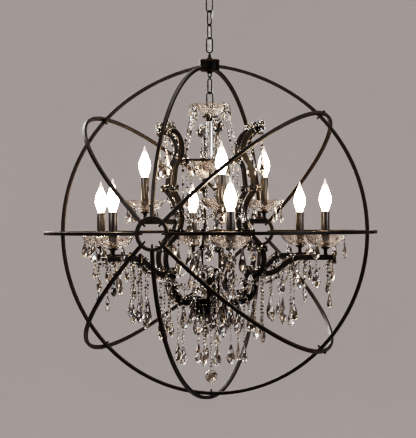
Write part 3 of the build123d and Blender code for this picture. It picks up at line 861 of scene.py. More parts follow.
# %% Frame paths
frame_depth, frame_thickness, frame_corner = 16, 6, 1.2
neck_radius, belly_radius = 106.5, 108
tip_bend, neck_bend, waist_bend, waist_length = (61.5, 90), (55, 40), (60, -33), 55
shoulder_bend, hip_bend, heel_bend, toe_bend = (110, 47), (80, 52), (80, -52), (60, -65)
foot_bend, foot_heading, foot_end = (45, -115), 295, 13.6
spider_z, spoke_depth = foot_of("spider"), 6
spoke_z = spider_z + spoke_depth / 2
neck_z, belly_z = spoke_z + 31.5, spoke_z - 171
tip_start = (neck_radius + tip_bend[0], neck_z + tip_bend[0])
upper_path = planar_path(tip_start, 180, [tip_bend, neck_bend, waist_bend, (waist_length, 0)])
lower_start = (
    belly_radius + shoulder_bend[0] * (1 - cos(radians(shoulder_bend[1]))),
    belly_z + shoulder_bend[0] * sin(radians(shoulder_bend[1])),
)
lower_path = planar_path(lower_start, 270 - shoulder_bend[1], [shoulder_bend, hip_bend, heel_bend, toe_bend])
foot_start = lower_path.points[-1] - (0, frame_depth / 2)
foot_curl = planar_path(foot_start, foot_heading, [foot_bend])
foot_run = foot_curl.points[-1][0] - foot_end
foot_path = planar_path(foot_start, foot_heading, [foot_bend, (foot_run, 0)])
foot_z = float(foot_path.points[-1][1])
frame_section = rounded_section(frame_depth, frame_thickness, frame_corner)
print("the scrolls' feet end at radius", foot_end, "and height", round(foot_z, 1))

# %% Scroll frames
def radial(path, turn, section=frame_section, z=0):
    """A bar in the upright plane that runs outwards at a turn from the front."""
    return bar_along(path, section, (0, 0, z), spot(turn, 1, 0), Z_AXIS)


frame_turns = turns_round(frame_count, first_plane)
for index, turn in enumerate(frame_turns, 1):
    scroll = [radial(path, turn) for path in (upper_path, lower_path, foot_path)]
    make_piece(f"scroll_{index}", scroll, bronze_iron, "chandelier", replaces=[f"scroll_frame_{index}"])

# %% Arms and spider
cup_seat = frame_depth / 2 + 0.1
lower_arm_z, upper_arm_z = (foot_of(f"{tier}_candle_cups") - cup_seat for tier in ("lower", "upper"))
lower_candle_radius, upper_candle_radius = 360, 213
lower_overhang, upper_overhang = 24, 11  # how far an arm runs on past its candle
arm_root, root_run = 150, 20
arm_radius, arm_turn = 86.4, 44
arm_rise = 2 * arm_radius * (1 - cos(radians(arm_turn)))
arm_root_z = lower_arm_z - arm_rise
arm_reach = arm_root + root_run + 2 * arm_radius * sin(radians(arm_turn))
arm_moves = [
    (root_run, 0), (arm_radius, arm_turn), (arm_radius, -arm_turn),
    (lower_candle_radius + lower_overhang - arm_reach, 0),
]
lower_arm_path = planar_path((arm_root, arm_root_z), 0, arm_moves)
upper_arm_path = planar_path(
    (belly_radius, upper_arm_z), 0, [(upper_candle_radius + upper_overhang - belly_radius, 0)]
)
tiers = {"lower": (6, lower_candle_radius, lower_arm_path), "upper": (3, upper_candle_radius, upper_arm_path)}
for tier, (count, radius, path) in tiers.items():
    bars = [radial(path, turn) for turn in turns_round(count, first_plane)]
    make_piece(f"{tier}_arm_bars", bars, bronze_iron, "chandelier", replaces=[f"{tier}_arms"])

spoke_path = planar_path((0, 0), 0, [(neck_radius - 6, 0)])
spoke_section = rounded_section(spoke_depth, spoke_depth, 1.4)
spokes = [radial(spoke_path, turn, spoke_section, spoke_z) for turn in frame_turns]
hub_plate = turned([(0, 0), (13.5, 0), (15, 1.5), (15, 4.5), (13.5, 6), (0, 6)], 48, (0, 0, spider_z))
make_piece("spider_spokes", [*spokes, hub_plate], bronze_iron, "chandelier", replaces=["spider"])

# %% [markdown]
# ## Pressed glass dishes
# Each dish is a shell with eight petals. Its radius at angle a is the profile's radius times a petal
# factor, which is 1 at a petal's tip and less between two petals, and fine flutes ride on the outside.

# %% Dishes
petals, flutes = 8, 32
petal_depth, flute_depth, scallop_depth = 0.1, 0.5, 0.10  # a share of the radius, millimetres, a share of z
waist_share, waist_height = 0.62, 0.32
belly_share, belly_height = 0.46, 0.72


def dish_skin(foot, width, height, at, wall=3.0, sides=128):
    """Outside from the foot up to the rim, over it, and down the inside to the floor."""
    waist = foot + (width - foot) * waist_share
    outside = curve_through([
        (foot / 2, 0), (waist / 2, waist_height * height), (belly_share * width, belly_height * height),
        (width / 2, height),
    ])
    inside = curve_through([
        (width / 2 - wall, height - 0.4), (belly_share * width - wall, belly_height * height + 1),
        (waist / 2 - wall, waist_height * height + wall), (foot / 2 - wall, wall),
    ])
    profile = np.concatenate([outside, inside])
    outer = np.where(np.arange(len(profile)) < len(outside), 1.0, 0.0)[:, None]
    a = round_angles(sides)
    lobe = np.abs(np.cos(petals * a / 2))[None, :]
    share = np.clip((profile[:, :1] - foot / 2) / (width / 2 - foot / 2), 0, 1)
    petal = 1 - petal_depth * (0.35 + 0.65 * share) * (1 - lobe**0.7)
    flute = outer * ((1 - 0.5 * share) * flute_depth * np.cos(flutes * a)[None, :] - flute_depth)
    radius = profile[:, :1] * petal + flute
    scallop = 1 - scallop_depth * share**4 * (1 - lobe)
    grid = np.stack([radius * np.cos(a), radius * np.sin(a), profile[:, 1:] * scallop], -1)
    return lattice(grid + np.array(at, float))


def collar_profile(inner, outer, low, high):
    """A short collar with a rounded lip."""
    lip = (outer - inner) / 2
    return [
        (inner, low), (outer, low), (outer, high - lip), (outer - 0.3 * lip, high - 0.3 * lip),
        (inner + lip, high), (inner + 0.3 * lip, high - 0.3 * lip), (inner, high - lip),
    ]


def tier_places(count, radius, z):
    """A place on each arm of a tier."""
    return [spot(turn, radius, z) for turn in turns_round(count, first_plane)]


for node, sizes in {"crown_dish": (46, 116, 35), "centre_bowl": (40, 106, 54)}.items():
    dish = dish_skin(*sizes, (0, 0, foot_of(node)))
    make_piece(node + "_glass", [dish], pressed_glass, "chandelier", replaces=[node])
candle_dish = weld(dish_skin(40, 124, 35, (0, 0, 0)))
glass_neck = weld(turned(collar_profile(13.2, 15.6, 3.1, 16), 48, closed=True))
for tier, (count, radius, path) in tiers.items():
    node = f"{tier}_candle_dishes"
    places = tier_places(count, radius, foot_of(node))
    dishes = [repeated(candle_dish, places, turns_round(count)), repeated(glass_neck, places)]
    make_piece(f"{tier}_glass_dishes", dishes, pressed_glass, "chandelier", replaces=[node])

# %% [markdown]
# ## Candles
# On each arm stand an iron cup on a stem, the glass dish, the lampholder, a brown sleeve and a flame lamp.
# The lamp's mark is 1 at its belly and falls away to its neck and tip, and its material makes that its glow.

# %% Candle pieces
cup_profile = [
    (0, 0), (7, 0), (7, 1.4), (5.4, 3.0), (5.2, 12), (5.8, 14.5), (8.5, 17), (13.6, 18.6), (14, 19.4),
    (14, 21.6), (13.4, 22), (0, 22),
]
holder_profile = [
    (0, 0), (9.6, 0), (10.5, 1), (10.5, 4), (9.9, 4.6), (10.5, 5.2), (10.5, 9.2), (9.8, 10), (0, 10),
]
sleeve_profile = [
    (0, 0), (12.3, 0), (12.5, 0.5), (12.5, 90.4), (12.1, 91.6), (11.2, 92), (10.4, 91.4), (10.2, 88), (0, 88),
]
lamp_height = 95
lamp_outline = curve_through([
    (9.6, 0), (10.2, 5), (12.8, 13), (16.2, 23), (17.5, 34), (15.6, 48), (10.4, 63), (5.0, 79), (2.2, 89),
    (1.2, 94.4),
], 5)
lamp_profile = np.concatenate([[(0, 0)], lamp_outline, [(0, lamp_height)]])
belly_at, glow_reach, glow_power = 0.34, 0.5, 1.6


def glowing(shell):
    """The lamp's shell with marks of (1 - d * d) to a power, where d is how far up or down a point lies from
    the belly, as a share of the glow's reach."""
    away = (shell.points[:, 2] / lamp_height - belly_at) / glow_reach
    return shell._replace(marks=np.clip(1 - away**2, 0, 1) ** glow_power)


candle_shells = {
    "candle_cups": (weld(turned(cup_profile, 40)), bronze_iron),
    "lampholders": (weld(turned(holder_profile, 40)), holder_plastic),
    "candle_sleeves": (weld(turned(sleeve_profile, 48)), sleeve_plastic),
    "candle_lamps": (glowing(weld(turned(lamp_profile, 40))), lamp_glass),
}
for tier, (count, radius, path) in tiers.items():
    for kind, (shell, finish) in candle_shells.items():
        node = f"{tier}_{kind}"
        candles = repeated(shell, tier_places(count, radius, foot_of(node)))
        make_piece(node + "_dressed", [candles], finish, "chandelier", replaces=[node])

# %% [markdown]
# ## Stem and bottom
# A bright tube with a black fitting carries the crown dish. Below, the scrolls' feet meet a black tube that
# stands in a black dish, with a small finial under it, and a glass ball sits on the tube in a dark ring.

# %% Stem and bottom pieces
fitting_profile = [
    (0, 0), (9.5, 0), (10.5, 0.6), (11, 3), (12.6, 6.5), (13, 8.2), (20, 10.4), (24.6, 11.2), (25, 12.2),
    (25, 14.4), (24.4, 15), (17, 15.6), (16, 18), (0, 18),
]
fitting = turned(fitting_profile, 64, (0, 0, foot_of("crown_fitting")))
make_piece("crown_black_fitting", [fitting], black_iron, "chandelier", replaces=["crown_fitting"])


def rod_skin(node, radius, edge):
    """A plain round rod as long as a piece of the frame, with its ends taken off."""
    low, high = foot_of(node), top_of(node)
    return turned([
        (0, low), (radius - edge, low), (radius, low + edge),
        (radius, high - edge), (radius - edge, high), (0, high),
    ])


make_piece("bright_column", [rod_skin("column", 9.5, 0.3)], bright, "chandelier", replaces=["column"])
tube = rod_skin("bottom_tube", 13.5, 0.8)
make_piece("black_tube", [tube], black_iron, "chandelier", replaces=["bottom_tube"])
pan = dish_skin(62, 123, 37, (0, 0, foot_of("bottom_dish")))
make_piece("black_dish", [pan], black_iron, "chandelier", replaces=["bottom_dish"])

# %% Finial and its hook
finial_height = 28
finial_z = top_of("finial") - finial_height
finial_profile = [
    (0, 0), (3.2, 0), (5.2, 1.2), (5.5, 3), (4.6, 5), (3.8, 6.5), (5.5, 9), (7, 12), (7.2, 14.5), (6.2, 18),
    (5, 20.5), (6.5, 22), (9.8, 24.5), (10, 27.4), (9.4, 28), (0, 28),
]
hook_wire, hook_radius, hook_end = 2, 4, 6
hook_drop = finial_z - foot_of("finial") - hook_radius - hook_wire / 2
hook = planar_path((hook_radius, 0), 90, [(hook_drop, 0), (hook_radius, 180), (hook_end, 0)], step=12)
finial = [
    turned(finial_profile, 40, (0, 0, finial_z)),
    bar_along(hook, round_section(hook_wire, 8), (0, 0, finial_z), across(30), -Z_AXIS),
]
make_piece("finial_iron", finial, black_iron, "chandelier", replaces=["finial"])

# %% [markdown]
# ## The supply cord
# The cord comes through the canopy, threads the chain, crosses the hub and ends in the crown.
# Its line is a NURBS spline on a few listed points, as a limp cord would lie, and Blender works out
# the curve. It crosses eight joints, so it is cut into stretches in the middle of each link.

# %% Cord
cord_width = 4
cord_route = [  # in millimetres
    (0, 0, -5), (0, 0, -53), (9, 9, -68), (9, 9, -118), (0, 13, -150), (1.5, 13.5, -195), (0, 13, -240),
    (0, 13, -312), (9, 11, -340), (10, 11, -370), (8, 7, -388), (0, 0, -401), (0, 0, -438),
]
cord_curve = bpy.data.curves.new("cord_line", "CURVE")
cord_curve.dimensions = "3D"
cord_curve.resolution_u = 16
spline = cord_curve.splines.new("NURBS")
spline.points.add(len(cord_route) - 1)
spline.points.foreach_set("co", np.array([(x * MM, y * MM, z * MM, 1) for x, y, z in cord_route]).reshape(-1))
spline.order_u = 3
spline.use_endpoint_u = True
cord_guide = bpy.data.objects.new("cord_line", cord_curve)
cord_mesh = bpy.data.meshes.new_from_object(cord_guide)
cord_line = np.zeros(len(cord_mesh.vertices) * 3)
cord_mesh.vertices.foreach_get("co", cord_line)
cord_line = cord_line.reshape(-1, 3) / MM
bpy.data.objects.remove(cord_guide)
bpy.data.curves.remove(cord_curve)
bpy.data.meshes.remove(cord_mesh)


def distances(line):
    """How far each point lies along a line: the running sum of the steps before it."""
    return np.concatenate([[0], np.cumsum(np.linalg.norm(np.diff(line, axis=0), axis=1))])


print("cord", len(cord_line), "points,", round(float(distances(cord_line)[-1]), 1), "mm")

# %% Cord cut into stretches
cord_bodies = ["root", "link_1", "link_2", "link_3", "link_4", "orb", "link_5", "link_6", "chandelier"]
joint_heights = [-65.4, -105.85, -146.55, -187.25, -227.95, -310.2, -350.65, -391.35]
cuts = [0.0] + [(a + b) / 2 for a, b in zip(joint_heights, joint_heights[1:])] + [-500.0]
for index, height in enumerate(joint_heights):
    inside = np.nonzero((cord_line[:, 2] <= cuts[index]) & (cord_line[:, 2] >= cuts[index + 1]))[0]
    first, last = max(inside[0] - 1, 0), min(inside[-1] + 2, len(cord_line))
    stretch = wire_through(cord_line[first:last], cord_width, (1, 0, 0), sides=12)
    replaced = ["supply_cord"] if cord_bodies[index + 1] == "orb" else []
    piece = make_piece(f"cord_stretch_{index + 1}", [stretch], cord_plastic, None, replaced)
    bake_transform(piece)

# %% [markdown]
# ## Cut crystal
# A pear drop is a stack of octagons, each turned half a facet against the last, so the light breaks into
# diamonds. A bead is an octagon cut like a button. Shading is flat: every facet must stay a plane, as a
# stone is cut. There are many hundreds of beads, so each has only forty faces.

# %% Crystal shapes
def cut_stone(levels, sides=8, flat=1.0):
    """Rings of (radius, height), each turned half a facet against the one before, squeezed by `flat` in y."""
    radius, z = np.array(levels, float).T[:, :, None]
    a = round_angles(sides, 0.5 * (np.arange(len(radius)) % 2)[:, None])
    x, y = radius * np.cos(a), flat * radius * np.sin(a)
    return weld(lattice(np.stack([x, y, np.broadcast_to(z, a.shape)], -1)))


pear_shape = (  # shares of the half width and of the length
    (0.10, 0), (0.22, 0.06), (0.44, 0.26), (0.74, 0.46), (1, 0.68), (0.82, 0.86), (0.38, 0.965), (0.08, 1),
)
bead_shape = ((0.27, -0.21), (0.5, -0.06), (0.5, 0.06), (0.27, 0.21))  # radius and depth


def pear_drop(width, length, flat=0.55):
    """A pear-shaped drop that hangs from its own origin, widest at two thirds of its length."""
    return cut_stone([(share * width / 2, -down * length) for share, down in pear_shape], flat=flat)


def octagon_bead():
    """An octagonal bead one millimetre wide, flat from front to back: table, girdle and table again."""
    ring = ellipse((1, 0, 0), (0, 0, 1), 8, shift=0.5)
    return weld(lattice(np.stack([r * ring + (0, y, 0) for r, y in bead_shape])))


bead = octagon_bead()
drops = {
    "pear": pear_drop(20, 48),
    "large": pear_drop(28, 62),
    "almond": pear_drop(25, 52),
    "broad": pear_drop(34, 82),
}
print("a bead has", len(bead.quads) + len(bead.triangles), "faces")

# %% [markdown]
# ## Garlands
# Beads are linked by small wire pins into strings, and the strings hang straight down or in swags.
# A `Garland` gathers places first and makes its three pieces last: beads, drops and the wire.
# A swag is a parabola, which is nearly the curve of a hanging chain, and beads sit on it at even distances.

# %% Garland
bead_size = 9.0
bead_pitch = 10.5
wire_width = 0.8
small_bead = 0.82  # size of every second bead on a string, as a share of the first
first_bead = 0.6  # its distance from the string's top, as a share of the pitch
drop_gap, drop_overlap = 3, 1.5  # wire below the last bead, and how far a drop's head hides it
drop_marks = 0.86  # the drops' marks stay below this, so fewer of them are smoky
curve_points = 33


class Garland:
    """Beads, drops and the wire that carries them, gathered until they become pieces."""

    def __init__(self, name, seed):
        self.name, self.chance = name, np.random.default_rng(seed)
        self.beads, self.wires = [], []
        self.drops = {kind: [] for kind in drops}

    def bead_row(self, points, size):
        """Beads at points in space."""
        self.beads.append(np.column_stack([points, np.full(len(points), float(size))]))

    def wire(self, points, side=(0, 1, 0)):
        """The wire through a row of beads."""
        self.wires.append(wire_through(points, wire_width, side, sides=4))

    def hang(self, top, count, drop, size=bead_size, pitch=bead_pitch):
        """A string straight down: beads at even pitch, alternately large and small, and a drop under them."""
        down = pitch * (np.arange(count) + first_bead)
        for start, share in enumerate((1.0, small_bead)):
            self.bead_row(top - down[start::2, None] * Z_AXIS, size * share)
        end = top - (pitch * count + drop_gap) * Z_AXIS
        self.wire([top, (top + end) / 2, end])
        self.drops[drop].append(end + drop_overlap * Z_AXIS)

    def drape(self, start, end, sag, size=bead_size):
        """A swag between two points: the straight line between them, less four times the sag times t (1 - t).
        It gives back its lowest point."""
        t = np.linspace(0, 1, curve_points)[:, None]
        line = start + (end - start) * t - 4 * sag * t * (1 - t) * Z_AXIS
        self.follow(line, size)
        return line[curve_points // 2]

    def follow(self, line, size=bead_size, pitch=bead_pitch):
        """Beads at even distances along a line, on a wire."""
        reach = distances(line)
        at = np.linspace(0, reach[-1], max(2, int(round(reach[-1] / pitch)) + 1))
        self.bead_row(np.stack([np.interp(at, reach, line[:, k]) for k in range(3)], 1), size)
        run = line[-1] - line[0]
        self.wire(line, np.cross(run, Z_AXIS) if np.hypot(run[0], run[1]) > 1 else (0, 1, 0))

    def ring(self, middle, first, second, count, size):
        """Beads round an ellipse with the half axes first and second."""
        self.bead_row(middle + ellipse(first, second, count), size)

    def scatter(self, stone, places, sizes=1.0, highest_mark=1.0):
        """A stone at each place, with a random turn and mark."""
        turns = self.chance.uniform(0, 180, len(places))
        return repeated(stone, places, turns, sizes, self.chance.random(len(places)) * highest_mark)

    def make(self, replaces=()):
        """The garland's pieces, all on the chandelier."""
        rows = np.concatenate(self.beads)
        beads = self.scatter(bead, rows[:, :3], rows[:, 3])
        make_piece(self.name + "_beads", [beads], crystal, "chandelier")
        used = [(drops[kind], places) for kind, places in self.drops.items() if places]
        if used:
            stones = [self.scatter(drop, places, highest_mark=drop_marks) for drop, places in used]
            make_piece(self.name + "_drops", stones, crystal, "chandelier", replaces)
        if self.wires:
            make_piece(self.name + "_pins", self.wires, bright, "chandelier")


def in_plane(turn, radius, z, side=0.0):
    """Point in a frame's plane, moved `side` millimetres square to it."""
    return spot(turn, radius, z) + across(turn) * side


def arm_height(radius):
    """Height of a lower arm's centre line at a radius."""
    return float(np.interp(radius, *lower_arm_path.points.T))


# %% [markdown]
# ## Drops that the frame already carries
# The prisms under the crown and the bowl, and the large drops on the scrolls, arms and bottom dish, have
# their own solids in the frame. Each gets its cut stone in the same place.

# %% Prisms and drops
prism = pear_drop(12, 46, flat=0.8)
prism_count, prism_depth = 8, 5  # in each circle, and how far a stone hangs below its hook's top
prism_turns = turns_round(prism_count)
prism_marks = np.linspace(0, 0.8, prism_count)
prism_hooks = np.outer((0, 3, 6), Z_AXIS)
for node, radius in {"crown_prisms": 59.6, "bowl_prisms": 54.6}.items():
    places = np.array([(*radius * unit(turn), top_of(node)) for turn in prism_turns])
    stones = repeated(prism, places - prism_depth * Z_AXIS, prism_turns, marks=prism_marks)
    hooks = [wire_through(place - prism_hooks, wire_width, (0, 1, 0), 4) for place in places]
    make_piece(node + "_cut", [stones], crystal, "chandelier", replaces=[node])
    make_piece(node + "_pins", hooks, bright, "chandelier")

single = {"size": 8, "pitch": 11}  # one bead over a drop
bottom = Garland("bottom_dish", 11)
bottom_rim, rim_z = 63.1, top_of("bottom_drops")
for turn in turns_round(4, 90):
    bottom.hang(spot(turn, bottom_rim, rim_z), 1, "pear", **single)
bottom.make(replaces=["bottom_drops"])

arm_drop_radii = (312, 381)  # on either side of the candle
arm_ends = Garland("arm_end", 12)
for turn in frame_turns:
    for radius in arm_drop_radii:
        arm_ends.hang(spot(turn, radius, top_of("arm_drops")), 1, "pear", **single)
arm_ends.make(replaces=["arm_drops"])

scrolls = Garland("scroll", 13)
for turn in frame_turns:
    scrolls.hang(spot(turn, tip_start[0] - 3, top_of("scroll_drops")), 5, "broad", size=11, pitch=11.8)
scrolls.make(replaces=["scroll_drops"])

# %% [markdown]
# ## Strings on the arms
# Each arm carries strings on both sides of its flat bar, longer towards the root.

# %% Arm strings
arm_strings = (  # radius, millimetres off the bar's middle, beads, drop
    (374, -8, 9, "pear"), (364, 8, 5, "pear"), (334, -8, 2, "large"), (292, 8, 6, "pear"),
    (264, -8, 11, "large"), (250, 8, 12, "large"), (230, -8, 8, "broad"),
    (168, -9, 13, "large"), (157, 9, 11, "large"),
)
string_inset = 2  # a string's top lies this far above the bar's lower edge
arms = Garland("arm_string", 21)
for turn in frame_turns:
    for radius, side, count, drop in arm_strings:
        z = arm_height(radius) - frame_depth / 2 + string_inset
        arms.hang(in_plane(turn, radius, z, side), count, drop)
arms.make()

# %% [markdown]
# ## Bead collars
# Where two bars meet, a ring of octagon beads hides the joint: at the spider, at the scrolls' lap and at the
# arm's root. More rings sit at the arm's hump and end, at the scroll's tip and along the foot.

# %% Collars
lap = (141, -635, (15, 9, 0))
root = (arm_root, arm_root_z + 10, (14, 10, 0))
foot_places = (*foot_path.points[[14, 28]], (76, foot_z), (50, foot_z))
tip_r, tip_z, tip_fall = tip_start[0], tip_start[1] + 2, 0.12
collar_rings = [  # radius, height, half axes outwards, sideways and upwards, beads, size
    (neck_radius - 14, spider_z + 3, (0, 9, 9), 8, 12),
    *((r, z + row, axes, 8, 12) for row in (-5, 5) for r, z, axes in (lap, root)),
    *((r, z, (0, 9, 14), 8, 12) for r, z in ((173, arm_root_z), (262, arm_height(262)), (388, lower_arm_z))),
    (388, lower_arm_z, (0, 3, 5), 3, 10),
    *((tip_r - d, tip_z - tip_fall * d, (0, 10, high), 8, 13) for d, high in ((0, 15), (12, 15), (24, 13))),
    *((r, z + row, (14, 9, 0), 8, 12) for r, z in lower_path.points[[28, 44]] for row in (-4, 4)),
    *((r, z, (0, 9, 13), 8, 12) for r, z in foot_places),
]
collars = Garland("collar", 22)
for turn in frame_turns:
    axes = (spot(turn, 1, 0), across(turn), Z_AXIS)
    for radius, z, halves, count, size in collar_rings:
        first, second = (half * axis for half, axis in zip(halves, axes) if half)
        collars.ring(spot(turn, radius, z), first, second, count, size)
collars.make()

# %% [markdown]
# ## Ropes and swags
# Beads run along the scrolls' hollow side and over the arms, and swags join the crown to the scrolls and
# each arm to the next. Strings hang inside the frames and fill the middle with crystal.

# %% Swags
rope_gap = 13  # from the bar's centre line
ropes = (
    beside(upper_path, rope_gap)[:44],
    (lower_arm_path.points + (0, rope_gap))[1:26],
    beside(lower_path, rope_gap)[4:30],
    beside(foot_path, -rope_gap)[6:42],
)
joining_swags = (  # radius and height of both ends, sag, and the string at the lowest point
    (256, arm_height(256) - 10, 58, ()),
    (112, belly_z + 20, 34, (7, "broad", 10)),
    (146, arm_root_z - 12, 38, (6, "large")),
)
crown_swag = ((54, top_of("crown_prisms") - 6), (97, spider_z + 14), 16)  # both ends and the sag
arm_swag = ((376, lower_arm_z - frame_depth / 2), (285, arm_height(285) - 8), 26)
arm_swag_side = 6  # off the bar's middle
swags = Garland("swag", 23)
for turn in frame_turns:
    for rope in ropes:
        swags.follow(rope[:, :1] * spot(turn, 1, 0) + rope[:, 1:] * Z_AXIS)
    start, end, sag = crown_swag
    swags.drape(spot(turn, *start), spot(turn, *end), sag, size=10)
    start, end, sag = arm_swag
    swags.drape(in_plane(turn, *start, arm_swag_side), in_plane(turn, *end, arm_swag_side), sag)
    following = turn + 360 / frame_count
    for radius, z, sag, string in joining_swags:
        lowest = swags.drape(spot(turn, radius, z), spot(following, radius, z), sag)
        if string:
            swags.hang(lowest, *string)
swags.make()

# %% Strings inside
inner_strings = (  # radius, height, millimetres off the frame's plane, beads, drop
    (72, spider_z, 0, 18, "large"), (88, spider_z, 0, 9, "pear"), (106, foot_z - 8, 0, 11, "large"),
    (84, foot_z + 4, 9, 1, "almond"), (66, foot_z + 4, -9, 2, "pear"), (96, foot_z + 4, -9, 3, "almond"),
    (50, foot_z + 4, 9, 1, "pear"),
)
half_way = 180 / frame_count  # from a frame to the middle of the bay beside it
stem_turns, stem_gap = (-62, 118), 14  # two ropes beside the column, and their distance from its axis
inner = Garland("inner_string", 24)
for index, turn in enumerate(frame_turns):
    for radius, z, side, count, drop in inner_strings:
        inner.hang(in_plane(turn, radius, z, side), count, drop)
    if index % 2:
        inner.hang(spot(turn + half_way, 60.5, rim_z), 11, "large")
stem_z = np.linspace(foot_of("crown_fitting") - 4, spider_z + 8, 9)
for turn in stem_turns:
    inner.follow(np.array([spot(turn, stem_gap, z) for z in stem_z]), size=7.5, pitch=8.2)
inner.make()

# %% Drops on the candle dishes' rims
rim_turns = (-9, 81, -99)  # where a petal's tip lies, from straight outwards
rim_radius, rim_fall = 61.5, 5  # from a dish's axis, and from its highest point
rims = Garland("dish_rim", 25)
for tier, (count, radius, path) in tiers.items():
    z = top_of(f"{tier}_candle_dishes") - rim_fall
    for turn in turns_round(count, first_plane):
        for petal in rim_turns:
            rim = spot(turn, radius, z) + spot(turn + petal, rim_radius, 0)
            rims.hang(rim, 1, "almond", size=9, pitch=12)
rims.make()

# %% [markdown]
# ## The two glass balls
# One ball sits on the black tube inside a dark ring, and a larger one hangs from the finial on its own
# string and swings by itself, so it rides on the pendant.

# %% Balls
cut_to = 78  # degrees from the girdle to the ball's first and last ring
ball_pitch, ball_twist = 9.6, 47.0  # millimetres and degrees from each bead over the ball to the next


def cut_ball(width, middle_z, sides=12):
    """A ball of facets: rings at even angles, each turned half a facet against the last."""
    rise = np.radians(np.linspace(-cut_to, cut_to, 9))
    ball = cut_stone([(width / 2 * cos(a), width / 2 * sin(a) / sin(radians(cut_to))) for a in rise], sides)
    return repeated(ball, [(0, 0, middle_z)], marks=np.zeros(1))


low, high = foot_of("faceted_ball"), top_of("faceted_ball")
hanging_ball = cut_ball(high - low, (low + high) / 2)
make_piece("hanging_ball", [hanging_ball], crystal, "pendant", replaces=["faceted_ball"])

low, high = foot_of("ball_string"), top_of("ball_string")
bead_z = np.arange(high - 6, low + 2, -ball_pitch)
order = np.arange(len(bead_z))
sizes, marks = np.where(order % 2, 6.5, 8.5), np.linspace(0, 1, len(order))
ball_beads = repeated(bead, bead_z[:, None] * Z_AXIS, ball_twist * order, sizes, marks)
make_piece("ball_beads", [ball_beads], crystal, "pendant", replaces=["ball_string"])
ball_pin = wire_through(np.linspace(high, low - 1, 5)[:, None] * Z_AXIS, 1.2, (0, 1, 0))
make_piece("ball_pin", [ball_pin], bright, "pendant")

# %% Ball on the tube
tube_high = top_of("bottom_tube")
make_piece("tube_ball", [cut_ball(22, tube_high + 10.5, 10)], crystal, "chandelier")
hoop_radius, hoop_wire, hoop_z = 14.5, 3, tube_high + 12
hoop = closed_path((hoop_radius, 0), 90, [(hoop_radius, 360)], step=12)
hoop_skin = bar_along(hoop, round_section(hoop_wire), (0, 0, hoop_z), across(35), Z_AXIS, closed=True)
make_piece("tube_ball_hoop", [hoop_skin], black_iron, "chandelier")

# %% [markdown]
# ## Floor, light and camera
# The floor is plain and pale and sweeps up into a wall far away, so no horizon cuts the picture. It lies far
# below the object, so that a view from below meets the wall and not the floor's underside.
# Large soft lights stand at the left, the right, above and behind, as in a product studio.

# %% Stage
floor_z, floor_radius, wall_radius, wall_top = -6000, 9500, 13500, 8000
stage_sides = 96
cove = wall_radius - floor_radius
cove_turn = np.radians(np.linspace(0, 90, 13))
sweep = np.concatenate([
    [(0, floor_z)],
    np.stack([floor_radius + cove * np.sin(cove_turn), floor_z + cove * (1 - np.cos(cove_turn))], 1),
    [(wall_radius, wall_top)],
])
around = ellipse((1, 0, 0), (0, 1, 0), stage_sides)
stage_grid = sweep[:, 0, None, None] * around + sweep[:, 1, None, None] * Z_AXIS
rows = np.arange(len(sweep) - 1)[:, None] * stage_sides
left = np.arange(stage_sides)[None, :]
right = (left + 1) % stage_sides
stage_quads = np.stack([rows + left, rows + right, rows + stage_sides + right, rows + stage_sides + left], -1)
stage_mesh = bpy.data.meshes.new("studio_sweep")
stage_mesh.from_pydata((stage_grid.reshape(-1, 3) * MM).tolist(), [], stage_quads.reshape(-1, 4).tolist())
stage_mesh.shade_smooth()
backdrop = mottled_material("pale_backdrop", (0.61, 0.565, 0.555), (0.68, 0.635, 0.62), 0.9, (0.6, 0.8))
stage_mesh.materials.append(backdrop)
studio = bpy.data.objects.new("studio_sweep", stage_mesh)
bpy.context.scene.collection.objects.link(studio)
studio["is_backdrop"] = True
print("stage:", len(stage_mesh.vertices), "points")

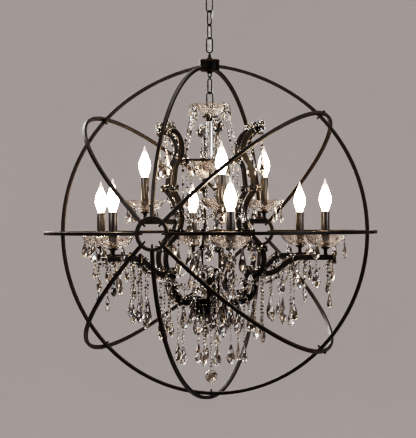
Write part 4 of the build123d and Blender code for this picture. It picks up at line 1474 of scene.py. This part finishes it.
# %% Lights
orb_place = Vector((0, 0, orb_z * MM))
soft_boxes = {  # place and size in metres, watts, colour
    "left_soft_box": ((-3.4, -3.2, 1.1), 2.4, 200, (1.0, 0.97, 0.93)),
    "right_soft_box": ((3.8, -2.2, 0.2), 2.0, 110, (0.95, 0.97, 1.0)),
    "top_soft_box": ((0.3, 0.4, 2.6), 2.2, 140, (1.0, 0.98, 0.95)),
    "back_soft_box": ((-1.6, 4.2, 0.8), 2.2, 165, (1.0, 0.96, 0.9)),
}
for name, (place, size, power, colour) in soft_boxes.items():
    data = bpy.data.lights.new(name, "AREA")
    data.size, data.energy, data.color = size, power, colour
    lamp = bpy.data.objects.new(name, data)
    bpy.context.scene.collection.objects.link(lamp)
    lamp.location = place
    lamp.rotation_mode = "QUATERNION"
    lamp.rotation_quaternion = (orb_place - Vector(place)).to_track_quat("-Z", "Y")

world = bpy.data.worlds.new("studio_air")
bpy.context.scene.world = world
world.use_nodes = True
fill(world.node_tree, world.node_tree.nodes["Background"], {"Color": (0.80, 0.79, 0.80, 1), "Strength": 0.74})
bpy.context.scene.view_settings.look = "AgX - High Contrast"
print("soft boxes:", *soft_boxes)

# %% [markdown]
# ## The camera
# The photograph looks at the orb from a little over five metres, almost level, with a long lens.
# Its frame is 416 by 438, and the orb's middle lies a little right of and below the middle of it.

# %% Camera
image_width, image_height = 416, 438
orb_pixel = (210.4, 232.5)
camera_distance = 5184
focal_pixels = 1728
look_down, roll = 0.38, 0.3  # degrees
camera_data = bpy.data.cameras.new("studio_camera")
camera_data.sensor_width = 36
camera_data.lens = focal_pixels / image_height * camera_data.sensor_width
camera_data.shift_x = (image_width / 2 - orb_pixel[0]) / image_height
camera_data.shift_y = (orb_pixel[1] - image_height / 2) / image_height
camera_data.clip_end = 60
camera = bpy.data.objects.new("studio_camera", camera_data)
bpy.context.scene.collection.objects.link(camera)
camera.location = (0, -camera_distance * MM, (orb_z + camera_distance * sin(radians(look_down))) * MM)
camera.rotation_euler = (radians(90 - look_down), radians(roll), 0)
bpy.context.scene.camera = camera
print("lens", round(camera_data.lens, 1), "mm")

# %% [markdown]
# ## Sizes and finish
# Last, the dressed object's box is printed.

# %% Finish
low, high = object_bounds()
print("visual", [round(v, 4) for v in low], [round(v, 4) for v in high])
